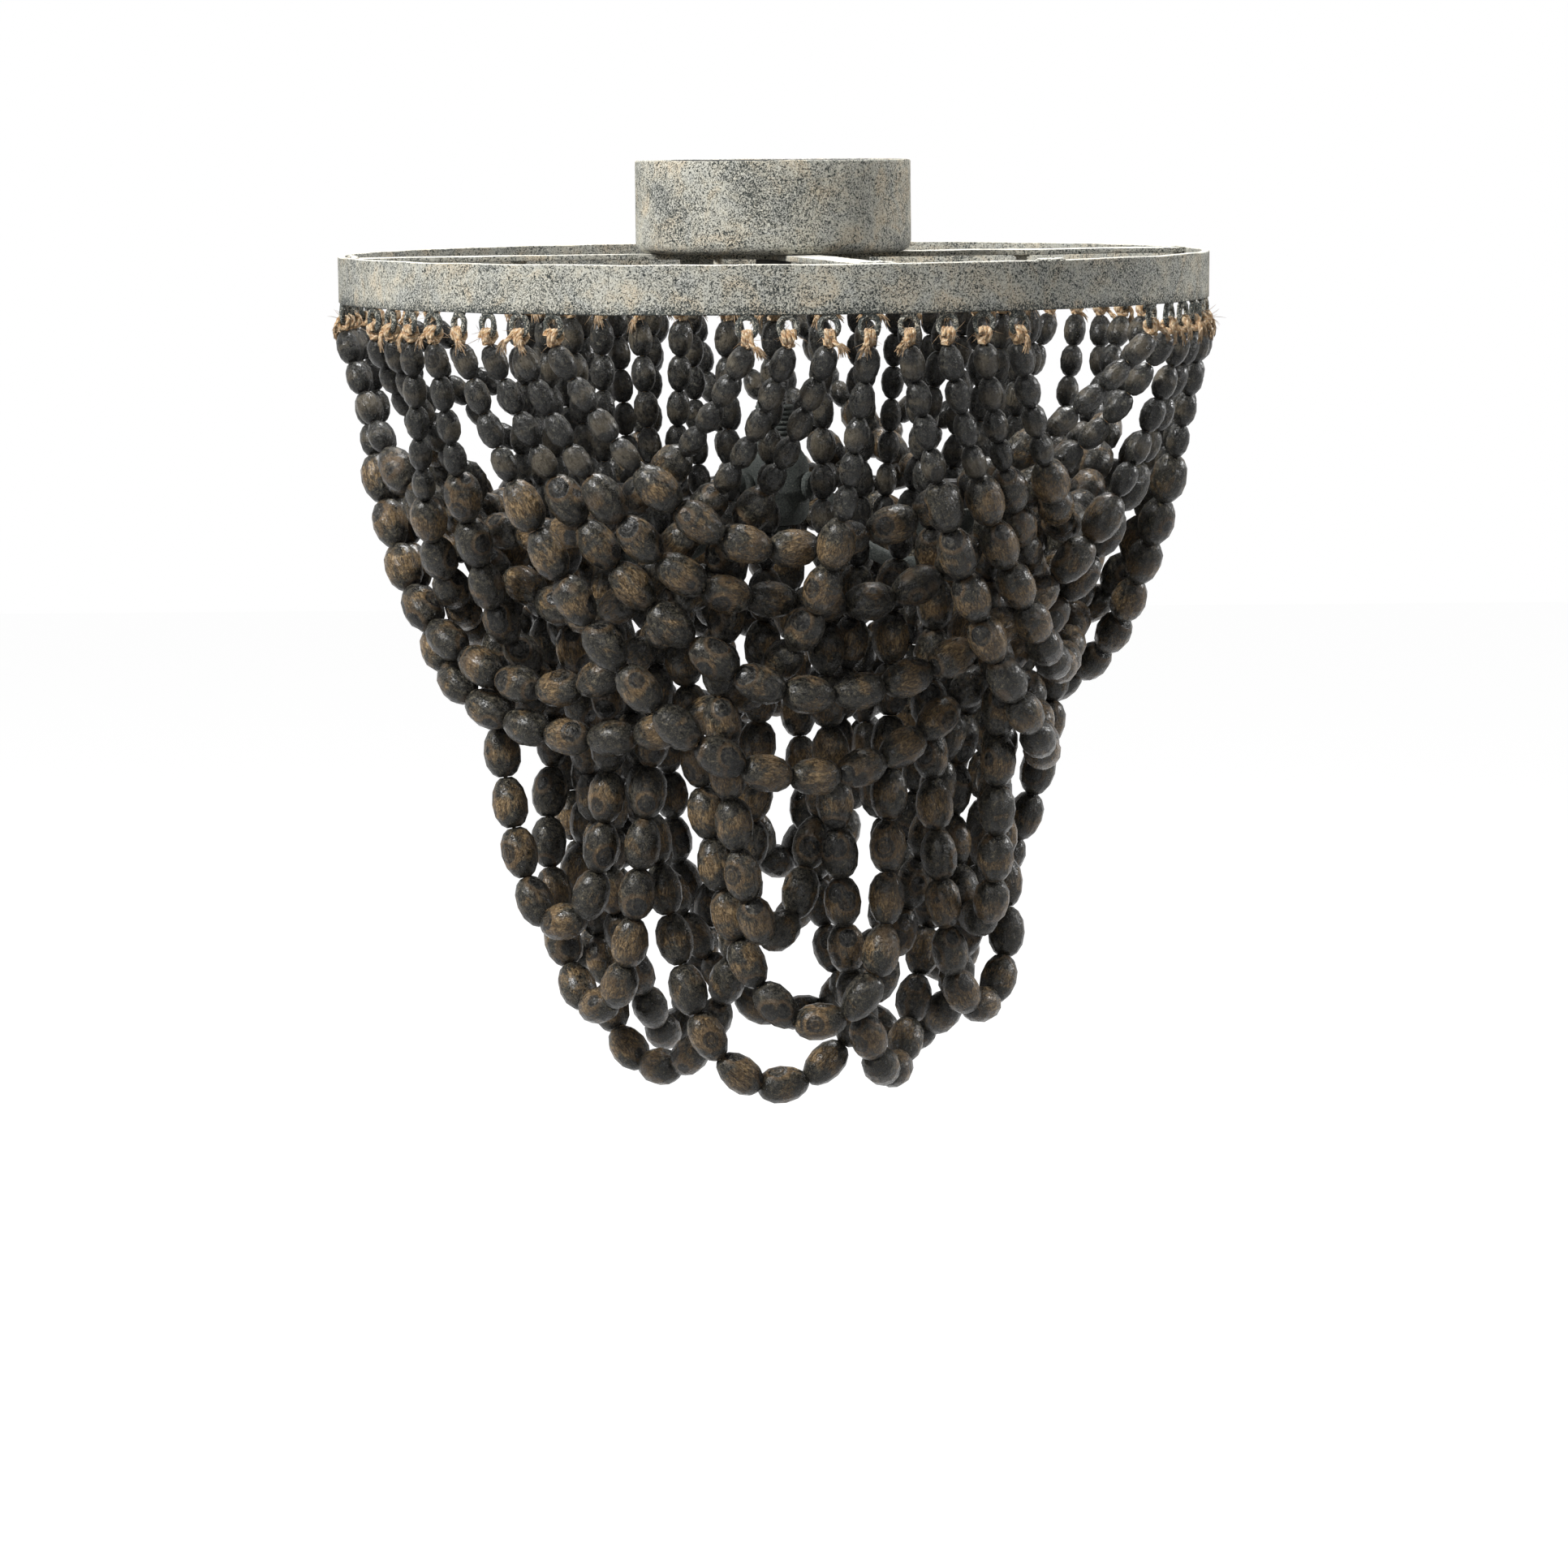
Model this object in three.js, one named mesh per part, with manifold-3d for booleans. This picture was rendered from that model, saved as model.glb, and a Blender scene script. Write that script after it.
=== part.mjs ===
// A ceiling light with a round metal frame and two tiers of wooden bead strands.
// Millimetres, +Z up. The origin is on the ceiling, at the centre of the canopy's open rim, and the front
// is -Y. An azimuth is counted from the front towards +X.
import * as THREE from "three";
import { mergeVertices } from "three/addons/utils/BufferGeometryUtils.js";
import Module from "manifold-3d";

const wasm = await Module();
wasm.setup();

// Fits
const SEAT_GAP = 0.3; // between two pieces that touch
const OVERRUN = 2; // how far a cut runs past the face that it opens
const WELD_DEPTH = 0.6; // how far a welded piece sinks into what carries it
const MERGE_DISTANCE = 0.0001; // below which two corners of a mesh are one

// Canopy, the cup that covers the ceiling box
const CANOPY_RADIUS = 60.3;
const CANOPY_HEIGHT = 40;
const CANOPY_WALL = 1.5;
const CANOPY_CORNER_RADIUS = 5;

// Mounting bar, its two studs with their lock nuts, and the cap nuts under the canopy
const BAR_LENGTH = 104;
const BAR_WIDTH = 15;
const BAR_THICKNESS = 2.5;
const BAR_AZIMUTH = 58;
const BAR_WIRE_HOLE_RADIUS = 5.5;
const STUD_SPACING = 88;
const STUD_RADIUS = 2;
const LOCK_NUT_RADIUS = 4;
const LOCK_NUT_HEIGHT = 3;
const CAP_NUT_RADIUS = 5;
const CAP_NUT_HEX_HEIGHT = 4;
const CAP_NUT_DOME_HEIGHT = 5;
const CAP_NUT_TIP_WALL = 1.6;
const CAP_NUT_DOME_RADIUS = 4.3;
const CAP_NUT_DOME_SHARES = [
  [0, 1],
  [0.6, 0.85],
  [0.9, 0.5],
  [1, 0],
]; // of the dome's radius and height, from its tip up

// Outer band and the eyelets welded under it
const RING_RADIUS = 190.5;
const BAND_HEIGHT = 20;
const BAND_THICKNESS = 3.4;
const EYELET_RADIUS = 4.9;
const EYELET_HEIGHT = 11;
const EYELET_WIRE_RADIUS = 1.25;
const EYELET_SIDES = 6;
const EYELET_GROUPS = 6;
const EYELETS_PER_GROUP = 8;
const FIRST_EYELET_AZIMUTH = -3.2;
const EYELET_STEP = 5;

// Cross of flat straps, and the inner ring on its posts
const STRAP_WIDTH = 15;
const STRAP_THICKNESS = 2.4;
const STRAP_AZIMUTH = 13;
const STRAP_COUNT = 4;
const CENTRE_PLATE_RADIUS = 27;
const INNER_RING_RADIUS = 113;
const INNER_ROD_RADIUS = 2.5;
const INNER_RING_DEPTH = 20; // from the straps' top to the rod's centreline

// Hollow stem with its hexagonal head, and the nut below the cross
const STEM_RADIUS = 5;
const STEM_BORE_RADIUS = 3.2;
const STEM_LENGTH = 76; // below the head
const STEM_HEAD_RADIUS = 9;
const STEM_HEAD_HEIGHT = 5;
const STEM_NUT_RADIUS = 9;
const STEM_NUT_HEIGHT = 5;

// Turned hub and its finial
const HUB_TOP_DEPTH = 107; // below the ceiling
const HUB_NECK_RADIUS = 7.5;
const HUB_RIDGE_RADIUS = 8.6;
const HUB_RIDGE_PITCH = 4.4;
const HUB_RIDGE_COUNT = 3;
const HUB_RIDGE_SHARES = [0.35, 0.65]; // of the pitch, where a ridge's flat top begins and ends
const HUB_BODY_RADIUS = 15;
const HUB_SHOULDER_HEIGHT = 12;
const HUB_SHOULDER_SHARES = [[0.75, 0.5]]; // of the body's radius and the shoulder's height
const HUB_BODY_HEIGHT = 20;
const HUB_TAPER_HEIGHT = 8;
const HUB_TAPER_SHARES = [
  [0.8, 0.9],
  [1, 0.4],
]; // of the body's radius and the taper's height
const FINIAL_RADIUS = 6;
const FINIAL_LENGTH = 13;
const FINIAL_SHARES = [
  [0, 1],
  [0.35, 0.93],
  [0.85, 0.7],
  [0.9, 0.45],
  [0.5, 0.2],
  [1, 0],
]; // of its radius and length, from its tip up
const FINIAL_STUD_RADIUS = 2.5;
const FINIAL_STUD_LENGTH = 6;

// Arms, their cups and the lampholders in them
const ARM_COUNT = 3;
const FIRST_ARM_AZIMUTH = -55;
const ARM_TUBE_RADIUS = 3.5;
const ARM_CLEARANCE = 7.25; // from a lamp's cup to a bead under the inner ring
const ARM_SOCKET_DEPTH = 6; // in the hub
const ARM_DIP = 9; // how far the arm's centreline sags below its cup
const ARM_BEND_SHARES = [
  [0.4, 0.6],
  [0.72, 1],
  [0.93, 0.95],
]; // of the reach and of the way down from the hub to the lowest point
const CUP_RADIUS = 15;
const CUP_BELLY_RADIUS = 12.75;
const CUP_FOOT_RADIUS = 7;
const CUP_HEIGHT = 16;
const CUP_BELLY_HEIGHT = 4;
const CUP_WALL = 1.4;
const CUP_TOP_DEPTH = 150; // below the ceiling
const HOLDER_RADIUS = 10;
const HOLDER_HEIGHT = 26;
const HOLDER_TAPER_HEIGHT = 5.2;
const SOCKET_RADIUS = 6.4;
const SOCKET_DEPTH = 20;

// Beads, the twine between them and the knot at each end of a strand
const KNOT_LENGTH = 2.5;
const KNOT_RADIUS = 3;
const KNOT_SIDES = 4;
const SMALL_BEAD_LENGTH = 15;
const SMALL_BEAD_RADIUS = 5.8;
const SMALL_BEAD_SIDES = 3;
const LARGE_BEAD_LENGTH = 22.4;
const LARGE_BEAD_RADIUS = 8.75;
const LARGE_BEAD_SIDES = 4;
const NECK_SHARE = 0.5; // a bead's end against its middle
const NECK_SIDES = 3;
const SWAG_SMALL_BEADS = [8, 9, 10]; // at a strand's two ends together, whichever suits its length
const LOOP_SMALL_BEADS = [12, 13, 14];
const BEAD_GAP = 0.7; // room that beads of two strands leave between them

// Outer swags of a family: how far each one hangs below its knots, from the highest to the lowest
const SWAG_DROPS = [86, 114, 149, 182];
const SWAG_GROUPS_SPANNED = 2;

// Inner loops of a family, and the step between the ends of one loop and the next
const LOOP_DROPS = [270, 302, 331];
const LOOP_STEP = 10;
const FIRST_LOOP_AZIMUTH = 5;
const DROP_VARIATION_SHARE = 0.015; // strung by hand, so no two strands are quite alike
const CURVE_STEPS = 200;
const STEEPEST_CHAIN = 8;
const LAYER_RISE_SHARE = 0.35; // of a strand's drop, over which it leaves the plane of its ends
const CROSSOVER_SHARE = 0.5; // of its half width, over which it changes from the outer to the inner layer
const SEED_STEP = 12.9898; // spreads the variation evenly over the strands

// Settling of all strands at once
const SETTLE_ROUNDS = 900;
const REST_ROUNDS = 200;
const SINK_STEP = 0.25; // how far a free bead end sinks in the first round
const SEARCH_ROUNDS = 10;
const SEARCH_MARGIN = 5;

const metal = { color: 0x9d998c, roughness: 0.8, metalness: 0.35 };
const darkSteel = { color: 0x4a4c4d, roughness: 0.5, metalness: 0.8 };
const brass = { color: 0x9c8350, roughness: 0.4, metalness: 0.9 };
const phenolic = { color: 0x2a2826, roughness: 0.6, metalness: 0 };
const wood = { color: 0x4a3c30, roughness: 0.55, metalness: 0 };

const part = new THREE.Group();

function addMesh(name, geometry, finish, parent = part) {
  const mesh = new THREE.Mesh(geometry, new THREE.MeshStandardMaterial(finish));
  mesh.name = name;
  parent.add(mesh);
  return mesh;
}

// Booleans

function solid(geometry) {
  const bare = geometry.index ? geometry.toNonIndexed() : geometry.clone();
  bare.deleteAttribute("normal");
  bare.deleteAttribute("uv");
  const merged = mergeVertices(bare, MERGE_DISTANCE);
  return new wasm.Manifold(
    new wasm.Mesh({
      numProp: 3,
      vertProperties: new Float32Array(merged.attributes.position.array),
      triVerts: new Uint32Array(merged.index.array),
    }),
  );
}

function geometryOf(manifold) {
  const mesh = manifold.getMesh();
  const geometry = new THREE.BufferGeometry();
  geometry.setAttribute("position", new THREE.BufferAttribute(mesh.vertProperties, 3));
  geometry.setIndex(new THREE.BufferAttribute(mesh.triVerts, 1));
  geometry.computeVertexNormals();
  return geometry;
}

function join(geometries) {
  return geometryOf(geometries.map(solid).reduce((whole, piece) => whole.add(piece)));
}

function cut(geometry, tools) {
  return geometryOf(tools.map(solid).reduce((whole, tool) => whole.subtract(tool), solid(geometry)));
}

// Shapes

function at(azimuth, radius, z = 0) {
  const angle = THREE.MathUtils.degToRad(azimuth);
  return new THREE.Vector3(radius * Math.sin(angle), -radius * Math.cos(angle), z);
}

function turnTo(geometry, azimuth) {
  return geometry.rotateZ(THREE.MathUtils.degToRad(azimuth));
}

// Points of an outline from shares of a radius and of a depth below top.
function outlineOf(shares, radius, top, depth) {
  return shares.map(([radiusShare, depthShare]) => [radius * radiusShare, top - depth * depthShare]);
}

// A turned piece about Z, from a closed outline of [radius, z] pairs that runs counter-clockwise.
function turned(outline, segments) {
  const points = outline.map(([radius, z]) => new THREE.Vector2(radius, z));
  if (points[0].x > 0 || points.at(-1).x > 0) points.push(points[0].clone());
  return new THREE.LatheGeometry(points, segments).rotateX(Math.PI / 2);
}

// An upright round or many-sided rod from z = low to z = high.
function rod(radius, low, high, sides) {
  return new THREE.CylinderGeometry(radius, radius, high - low, sides)
    .rotateX(Math.PI / 2)
    .translate(0, 0, (low + high) / 2);
}

// The radius of a many-sided bore that clears a round piece.
function clear(radius, sides) {
  return (radius + SEAT_GAP) / Math.cos(Math.PI / sides);
}

function arcPoints(centreX, centreY, radius, fromDegrees, toDegrees, steps) {
  return Array.from({ length: steps + 1 }, (_, i) => {
    const angle = THREE.MathUtils.degToRad(fromDegrees + ((toDegrees - fromDegrees) * i) / steps);
    return [centreX + radius * Math.cos(angle), centreY + radius * Math.sin(angle)];
  });
}

function sweep(radius, sides, curve, steps) {
  const ring = arcPoints(0, 0, radius, 0, 360 - 360 / sides, sides - 1);
  const section = new THREE.Shape(ring.map(([x, y]) => new THREE.Vector2(x, y)));
  return new THREE.ExtrudeGeometry(section, { steps, extrudePath: curve, bevelEnabled: false });
}

// Canopy: an open cup with a rounded bottom edge, holes for the stem and the two studs
const floorTop = -CANOPY_HEIGHT + CANOPY_WALL;
const studAzimuths = { left: BAR_AZIMUTH - 180, right: BAR_AZIMUTH };
const studHoleRadius = clear(STUD_RADIUS, 8);

function canopyCup() {
  const stemHoleRadius = clear(STEM_RADIUS, 28);
  const cornerX = CANOPY_RADIUS - CANOPY_CORNER_RADIUS;
  const cornerZ = -CANOPY_HEIGHT + CANOPY_CORNER_RADIUS;
  const inside = CANOPY_RADIUS - CANOPY_WALL;
  const cup = turned(
    [
      [stemHoleRadius, floorTop],
      [stemHoleRadius, -CANOPY_HEIGHT],
      ...arcPoints(cornerX, cornerZ, CANOPY_CORNER_RADIUS, -90, 0, 3),
      [CANOPY_RADIUS, 0],
      [inside, 0],
      [inside, cornerZ],
      [cornerX, floorTop],
    ],
    28,
  );
  const holes = Object.values(studAzimuths).map((azimuth) => {
    const { x, y } = at(azimuth, STUD_SPACING / 2);
    return rod(studHoleRadius, -CANOPY_HEIGHT - OVERRUN, floorTop + OVERRUN, 8).translate(x, y, 0);
  });
  return cut(cup, holes);
}

// Mounting bar: a flat strip with round ends, two stud holes and a wire hole, flush with the ceiling
function mountingBar() {
  const straight = BAR_LENGTH / 2 - BAR_WIDTH / 2;
  const outline = [
    ...arcPoints(straight, 0, BAR_WIDTH / 2, -90, 90, 5),
    ...arcPoints(-straight, 0, BAR_WIDTH / 2, 90, 270, 5),
  ];
  const shape = new THREE.Shape(outline.map(([x, y]) => new THREE.Vector2(x, y)));
  const holes = [
    [0, BAR_WIRE_HOLE_RADIUS],
    [-STUD_SPACING / 2, studHoleRadius],
    [STUD_SPACING / 2, studHoleRadius],
  ];
  for (const [centre, radius] of holes) {
    const rim = arcPoints(centre, 0, radius, 360, 45, 7);
    shape.holes.push(new THREE.Path(rim.map(([x, y]) => new THREE.Vector2(x, y))));
  }
  return new THREE.ExtrudeGeometry(shape, { depth: BAR_THICKNESS, bevelEnabled: false }).translate(
    0,
    0,
    -BAR_THICKNESS,
  );
}

// Stud: it is screwed up into the bar against its lock nut, and goes down through the canopy into the cap nut
const capNutTop = -CANOPY_HEIGHT - SEAT_GAP;
const capNutBoreDepth = CAP_NUT_HEX_HEIGHT + CAP_NUT_DOME_HEIGHT - CAP_NUT_TIP_WALL;

function canopyStud() {
  const nutTop = -BAR_THICKNESS - SEAT_GAP;
  const nutBottom = nutTop - LOCK_NUT_HEIGHT;
  const tip = capNutTop - capNutBoreDepth + SEAT_GAP;
  return join([rod(STUD_RADIUS, tip, -SEAT_GAP, 8), rod(LOCK_NUT_RADIUS, nutBottom, nutTop, 6)]);
}

// Cap nut: six flats above a dome, on a blind bore that opens upwards
function capNut() {
  const hexBottom = capNutTop - CAP_NUT_HEX_HEIGHT;
  const boreRadius = clear(STUD_RADIUS, 8);
  const outside = turned(
    [
      ...outlineOf(CAP_NUT_DOME_SHARES, CAP_NUT_DOME_RADIUS, hexBottom, CAP_NUT_DOME_HEIGHT),
      [CAP_NUT_RADIUS, hexBottom],
      [CAP_NUT_RADIUS, capNutTop],
      [0, capNutTop],
    ],
    12,
  );
  return cut(outside, [rod(boreRadius, capNutTop - capNutBoreDepth, capNutTop + OVERRUN, 8)]);
}

// Outer band with its eyelets: open loops of round wire that hang from the band's lower edge
const bandTop = -CANOPY_HEIGHT - SEAT_GAP;
const bandBottom = bandTop - BAND_HEIGHT;
const bandMiddleRadius = RING_RADIUS - BAND_THICKNESS / 2;
const groupStep = 360 / EYELET_GROUPS;
const eyeletBottom = bandBottom - EYELET_HEIGHT + WELD_DEPTH;

function eyeletAzimuth(group, index) {
  return FIRST_EYELET_AZIMUTH + group * groupStep + index * EYELET_STEP;
}

function eyelet(azimuth) {
  const loop = new THREE.TorusGeometry(EYELET_RADIUS - EYELET_WIRE_RADIUS, EYELET_WIRE_RADIUS, 3, EYELET_SIDES)
    .rotateZ(Math.PI / EYELET_SIDES)
    .rotateX(Math.PI / 2)
    .scale(1, 1, EYELET_HEIGHT / (2 * EYELET_RADIUS))
    .translate(0, -bandMiddleRadius, eyeletBottom + EYELET_HEIGHT / 2);
  return turnTo(loop, azimuth);
}

function outerBand() {
  const inside = RING_RADIUS - BAND_THICKNESS;
  const band = turned(
    [
      [inside, bandBottom],
      [RING_RADIUS, bandBottom],
      [RING_RADIUS, bandTop],
      [inside, bandTop],
    ],
    72,
  );
  const eyelets = [];
  for (let group = 0; group < EYELET_GROUPS; group++) {
    for (let index = 0; index < EYELETS_PER_GROUP; index++) eyelets.push(eyelet(eyeletAzimuth(group, index)));
  }
  return join([band, ...eyelets]);
}

// Cross frame: four straps from a drilled centre plate to the band, with the inner ring on posts below them
const strapBottom = bandTop - STRAP_THICKNESS;
const innerRodZ = bandTop - INNER_RING_DEPTH;

function crossFrame() {
  const reach = RING_RADIUS - BAND_THICKNESS - SEAT_GAP;
  const plate = rod(CENTRE_PLATE_RADIUS, strapBottom, bandTop, 24);
  const ring = new THREE.TorusGeometry(INNER_RING_RADIUS, INNER_ROD_RADIUS, 5, 40).translate(0, 0, innerRodZ);
  const pieces = [plate, ring];
  for (let i = 0; i < STRAP_COUNT; i++) {
    const azimuth = STRAP_AZIMUTH + (i * 360) / STRAP_COUNT;
    const strap = new THREE.BoxGeometry(STRAP_WIDTH, reach, STRAP_THICKNESS).translate(
      0,
      -reach / 2,
      (strapBottom + bandTop) / 2,
    );
    const post = rod(INNER_ROD_RADIUS, innerRodZ, strapBottom + WELD_DEPTH, 6);
    post.translate(0, -INNER_RING_RADIUS, 0);
    pieces.push(turnTo(strap, azimuth), turnTo(post, azimuth));
  }
  const stemHole = rod(clear(STEM_RADIUS, 10), strapBottom - OVERRUN, bandTop + OVERRUN, 10);
  return cut(join(pieces), [stemHole]);
}

// Stem: a threaded tube whose head rests in the canopy, and which carries the hub
const stemHeadBottom = floorTop + SEAT_GAP;
const stemBottom = stemHeadBottom - STEM_LENGTH;

function stem() {
  const headTop = stemHeadBottom + STEM_HEAD_HEIGHT;
  const whole = join([
    rod(STEM_RADIUS, stemBottom, stemHeadBottom + WELD_DEPTH, 12),
    rod(STEM_HEAD_RADIUS, stemHeadBottom, headTop, 6),
  ]);
  return cut(whole, [rod(STEM_BORE_RADIUS, stemBottom - OVERRUN, headTop + OVERRUN, 8)]);
}

function stemNut() {
  const top = strapBottom - SEAT_GAP;
  const bottom = top - STEM_NUT_HEIGHT;
  const bore = rod(clear(STEM_RADIUS, 10), bottom - OVERRUN, top + OVERRUN, 10);
  return cut(rod(STEM_NUT_RADIUS, bottom, top, 6), [bore]);
}

// Hub: a ridged neck that opens into a turned body, bored for the stem, the arms and the finial
const hubTop = -HUB_TOP_DEPTH;
const hubNeckBottom = hubTop - HUB_RIDGE_COUNT * HUB_RIDGE_PITCH;
const hubBodyTop = hubNeckBottom - HUB_SHOULDER_HEIGHT;
const hubBodyBottom = hubBodyTop - HUB_BODY_HEIGHT;
const hubBottom = hubBodyBottom - HUB_TAPER_HEIGHT;
const armReach = INNER_RING_RADIUS - LARGE_BEAD_RADIUS - ARM_CLEARANCE - CUP_RADIUS; // to a lamp's axis
const armSocketZ = (hubBodyTop + hubBodyBottom) / 2;

function armAzimuth(index) {
  return FIRST_ARM_AZIMUTH + (index * 360) / ARM_COUNT;
}

function lampHub() {
  const neck = [];
  for (let i = 0; i < HUB_RIDGE_COUNT; i++) {
    const bottom = hubNeckBottom + i * HUB_RIDGE_PITCH;
    neck.push(
      [HUB_NECK_RADIUS, bottom],
      ...HUB_RIDGE_SHARES.map((share) => [HUB_RIDGE_RADIUS, bottom + HUB_RIDGE_PITCH * share]),
    );
  }
  const outline = [
    [0, hubBottom],
    [FINIAL_RADIUS, hubBottom],
    ...outlineOf(HUB_TAPER_SHARES, HUB_BODY_RADIUS, hubBodyBottom, HUB_TAPER_HEIGHT),
    [HUB_BODY_RADIUS, hubBodyTop],
    ...outlineOf(HUB_SHOULDER_SHARES, HUB_BODY_RADIUS, hubNeckBottom, HUB_SHOULDER_HEIGHT),
    ...neck,
    [HUB_NECK_RADIUS, hubTop],
    [0, hubTop],
  ];
  const tools = [
    rod(clear(STEM_RADIUS, 10), stemBottom - SEAT_GAP, hubTop + OVERRUN, 10),
    rod(clear(FINIAL_STUD_RADIUS, 6), hubBottom - OVERRUN, hubBottom + FINIAL_STUD_LENGTH + SEAT_GAP, 6),
  ];
  for (let i = 0; i < ARM_COUNT; i++) {
    const depth = ARM_SOCKET_DEPTH + SEAT_GAP;
    const radius = clear(ARM_TUBE_RADIUS, 6);
    const drill = new THREE.CylinderGeometry(radius, radius, depth + OVERRUN, 6).translate(
      0,
      -HUB_BODY_RADIUS + (depth - OVERRUN) / 2,
      armSocketZ,
    );
    tools.push(turnTo(drill, armAzimuth(i)));
  }
  return cut(turned(outline, 12), tools);
}

// Finial: a turned drop under the hub, on a stud
function finial() {
  const top = hubBottom - SEAT_GAP;
  return turned(
    [
      ...outlineOf(FINIAL_SHARES, FINIAL_RADIUS, top, FINIAL_LENGTH),
      [FINIAL_STUD_RADIUS, top],
      [FINIAL_STUD_RADIUS, top + FINIAL_STUD_LENGTH],
      [0, top + FINIAL_STUD_LENGTH],
    ],
    10,
  );
}

// Arm: a bent tube from its socket in the hub to the cup that is brazed on its end
const cupTop = -CUP_TOP_DEPTH;
const cupBottom = cupTop - CUP_HEIGHT;

function lampArm() {
  const drop = armSocketZ - (cupBottom - ARM_DIP);
  const path = [
    [HUB_BODY_RADIUS - ARM_SOCKET_DEPTH, armSocketZ],
    [HUB_BODY_RADIUS, armSocketZ],
    [HUB_BODY_RADIUS + 2 * ARM_TUBE_RADIUS, armSocketZ],
    ...outlineOf(ARM_BEND_SHARES, armReach, armSocketZ, drop),
    [armReach, cupBottom - ARM_TUBE_RADIUS],
    [armReach, cupBottom + WELD_DEPTH],
  ];
  const curve = new THREE.CatmullRomCurve3(path.map(([reach, z]) => new THREE.Vector3(0, -reach, z)));
  const tube = sweep(ARM_TUBE_RADIUS, 6, curve, 12);
  const cup = turned(
    [
      [0, cupBottom],
      [CUP_FOOT_RADIUS, cupBottom],
      [CUP_BELLY_RADIUS, cupBottom + CUP_BELLY_HEIGHT],
      [CUP_RADIUS, cupTop],
      [CUP_RADIUS - CUP_WALL, cupTop],
      [CUP_BELLY_RADIUS - CUP_WALL, cupBottom + CUP_BELLY_HEIGHT + CUP_WALL],
      [CUP_FOOT_RADIUS, cupBottom + CUP_WALL],
      [0, cupBottom + CUP_WALL],
    ],
    10,
  ).translate(0, -armReach, 0);
  return join([tube, cup]);
}

// Lampholder: a plain round body with a socket, standing in its cup
function lampholder() {
  const bottom = cupBottom + CUP_WALL + SEAT_GAP;
  const top = bottom + HOLDER_HEIGHT;
  return turned(
    [
      [0, bottom],
      [CUP_FOOT_RADIUS, bottom],
      [HOLDER_RADIUS, bottom + HOLDER_TAPER_HEIGHT],
      [HOLDER_RADIUS, top],
      [SOCKET_RADIUS, top],
      [SOCKET_RADIUS, top - SOCKET_DEPTH],
      [0, top - SOCKET_DEPTH],
    ],
    10,
  ).translate(0, -armReach, 0);
}

// A closed tube through points, with its own radius and number of sides at each one.
function loftedTube(points, radii, sides) {
  const vertices = [];
  const faces = [];
  const side = new THREE.Vector3();
  const along = (i) => {
    const before = points[Math.max(i - 1, 0)];
    const after = points[Math.min(i + 1, points.length - 1)];
    return after.clone().sub(before).normalize();
  };
  side.crossVectors(along(0), new THREE.Vector3(points[0].x, points[0].y, 0));
  const rings = points.map((point, i) => {
    const direction = along(i);
    side.addScaledVector(direction, -side.dot(direction)).normalize();
    const other = new THREE.Vector3().crossVectors(direction, side);
    const first = vertices.length;
    for (let k = 0; k < sides[i]; k++) {
      const angle = (2 * Math.PI * k) / sides[i];
      vertices.push(
        point
          .clone()
          .addScaledVector(side, radii[i] * Math.cos(angle))
          .addScaledVector(other, radii[i] * Math.sin(angle)),
      );
    }
    return { first, count: sides[i] };
  });
  for (let i = 1; i < rings.length; i++) faces.push(...bridge(rings[i - 1], rings[i]));
  const start = rings[0];
  const end = rings.at(-1);
  for (let k = 2; k < start.count; k++) faces.push(start.first, start.first + k, start.first + k - 1);
  for (let k = 2; k < end.count; k++) faces.push(end.first, end.first + k - 1, end.first + k);
  const geometry = new THREE.BufferGeometry().setFromPoints(vertices);
  geometry.setIndex(faces);
  return geometry;
}

// Triangles between two rings that may have different numbers of points.
function bridge(a, b) {
  const faces = [];
  let i = 0;
  let j = 0;
  while (i < a.count || j < b.count) {
    const p = a.first + (i % a.count);
    const q = b.first + (j % b.count);
    if (j >= b.count || (i < a.count && (i + 0.5) / a.count <= (j + 0.5) / b.count)) {
      i++;
      faces.push(p, a.first + (i % a.count), q);
    } else {
      j++;
      faces.push(p, b.first + (j % b.count), q);
    }
  }
  return faces;
}

// Strands. Each one is laid along a hanging curve between its two knots, and then all settle together.

// The steepness k of a hanging chain: (cosh k - 1) / k is its drop over its half width.
function chainSteepness(ratio) {
  let low = 0;
  let high = STEEPEST_CHAIN;
  for (let i = 0; i < CURVE_STEPS; i++) {
    const k = (low + high) / 2;
    if ((Math.cosh(k) - 1) / k < ratio) low = k;
    else high = k;
  }
  return low;
}

function smoothStep(value) {
  const t = THREE.MathUtils.clamp(value, 0, 1);
  return t * t * (3 - 2 * t);
}

// Points of a strand that leads from azimuth left to azimuth right and hangs drop below top, in the upright
// plane through its ends but no nearer to the axis than restRadius. Its left half lies further out by layerOut
// and its right half further in by layerIn, so that it passes over its neighbours on its left and under them
// on its right.
function hangingCurve({ left, right, anchorRadius, restRadius, top, drop, layerOut, layerIn }) {
  const halfSpan = THREE.MathUtils.degToRad((right - left) / 2);
  const halfWidth = anchorRadius * Math.sin(halfSpan);
  const planeDepth = anchorRadius * Math.cos(halfSpan);
  const k = chainSteepness(drop / halfWidth);
  return Array.from({ length: CURVE_STEPS + 1 }, (_, i) => {
    const t = (2 * i) / CURVE_STEPS - 1;
    const fall = (Math.cosh(k) - Math.cosh(k * t)) / (Math.cosh(k) - 1);
    const crossed = smoothStep(0.5 + t / (2 * CROSSOVER_SHARE));
    const layer = smoothStep(fall / LAYER_RISE_SHARE) * THREE.MathUtils.lerp(layerOut, -layerIn, crossed);
    const radius = Math.max(Math.hypot(halfWidth * t, planeDepth), restRadius) + layer;
    const turn = THREE.MathUtils.radToDeg(Math.atan2(halfWidth * t, planeDepth));
    return at((left + right) / 2 + turn, radius, top - drop * fall);
  });
}

function lengthOf(points) {
  return points.slice(1).reduce((sum, point, i) => sum + point.distanceTo(points[i]), 0);
}

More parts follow.
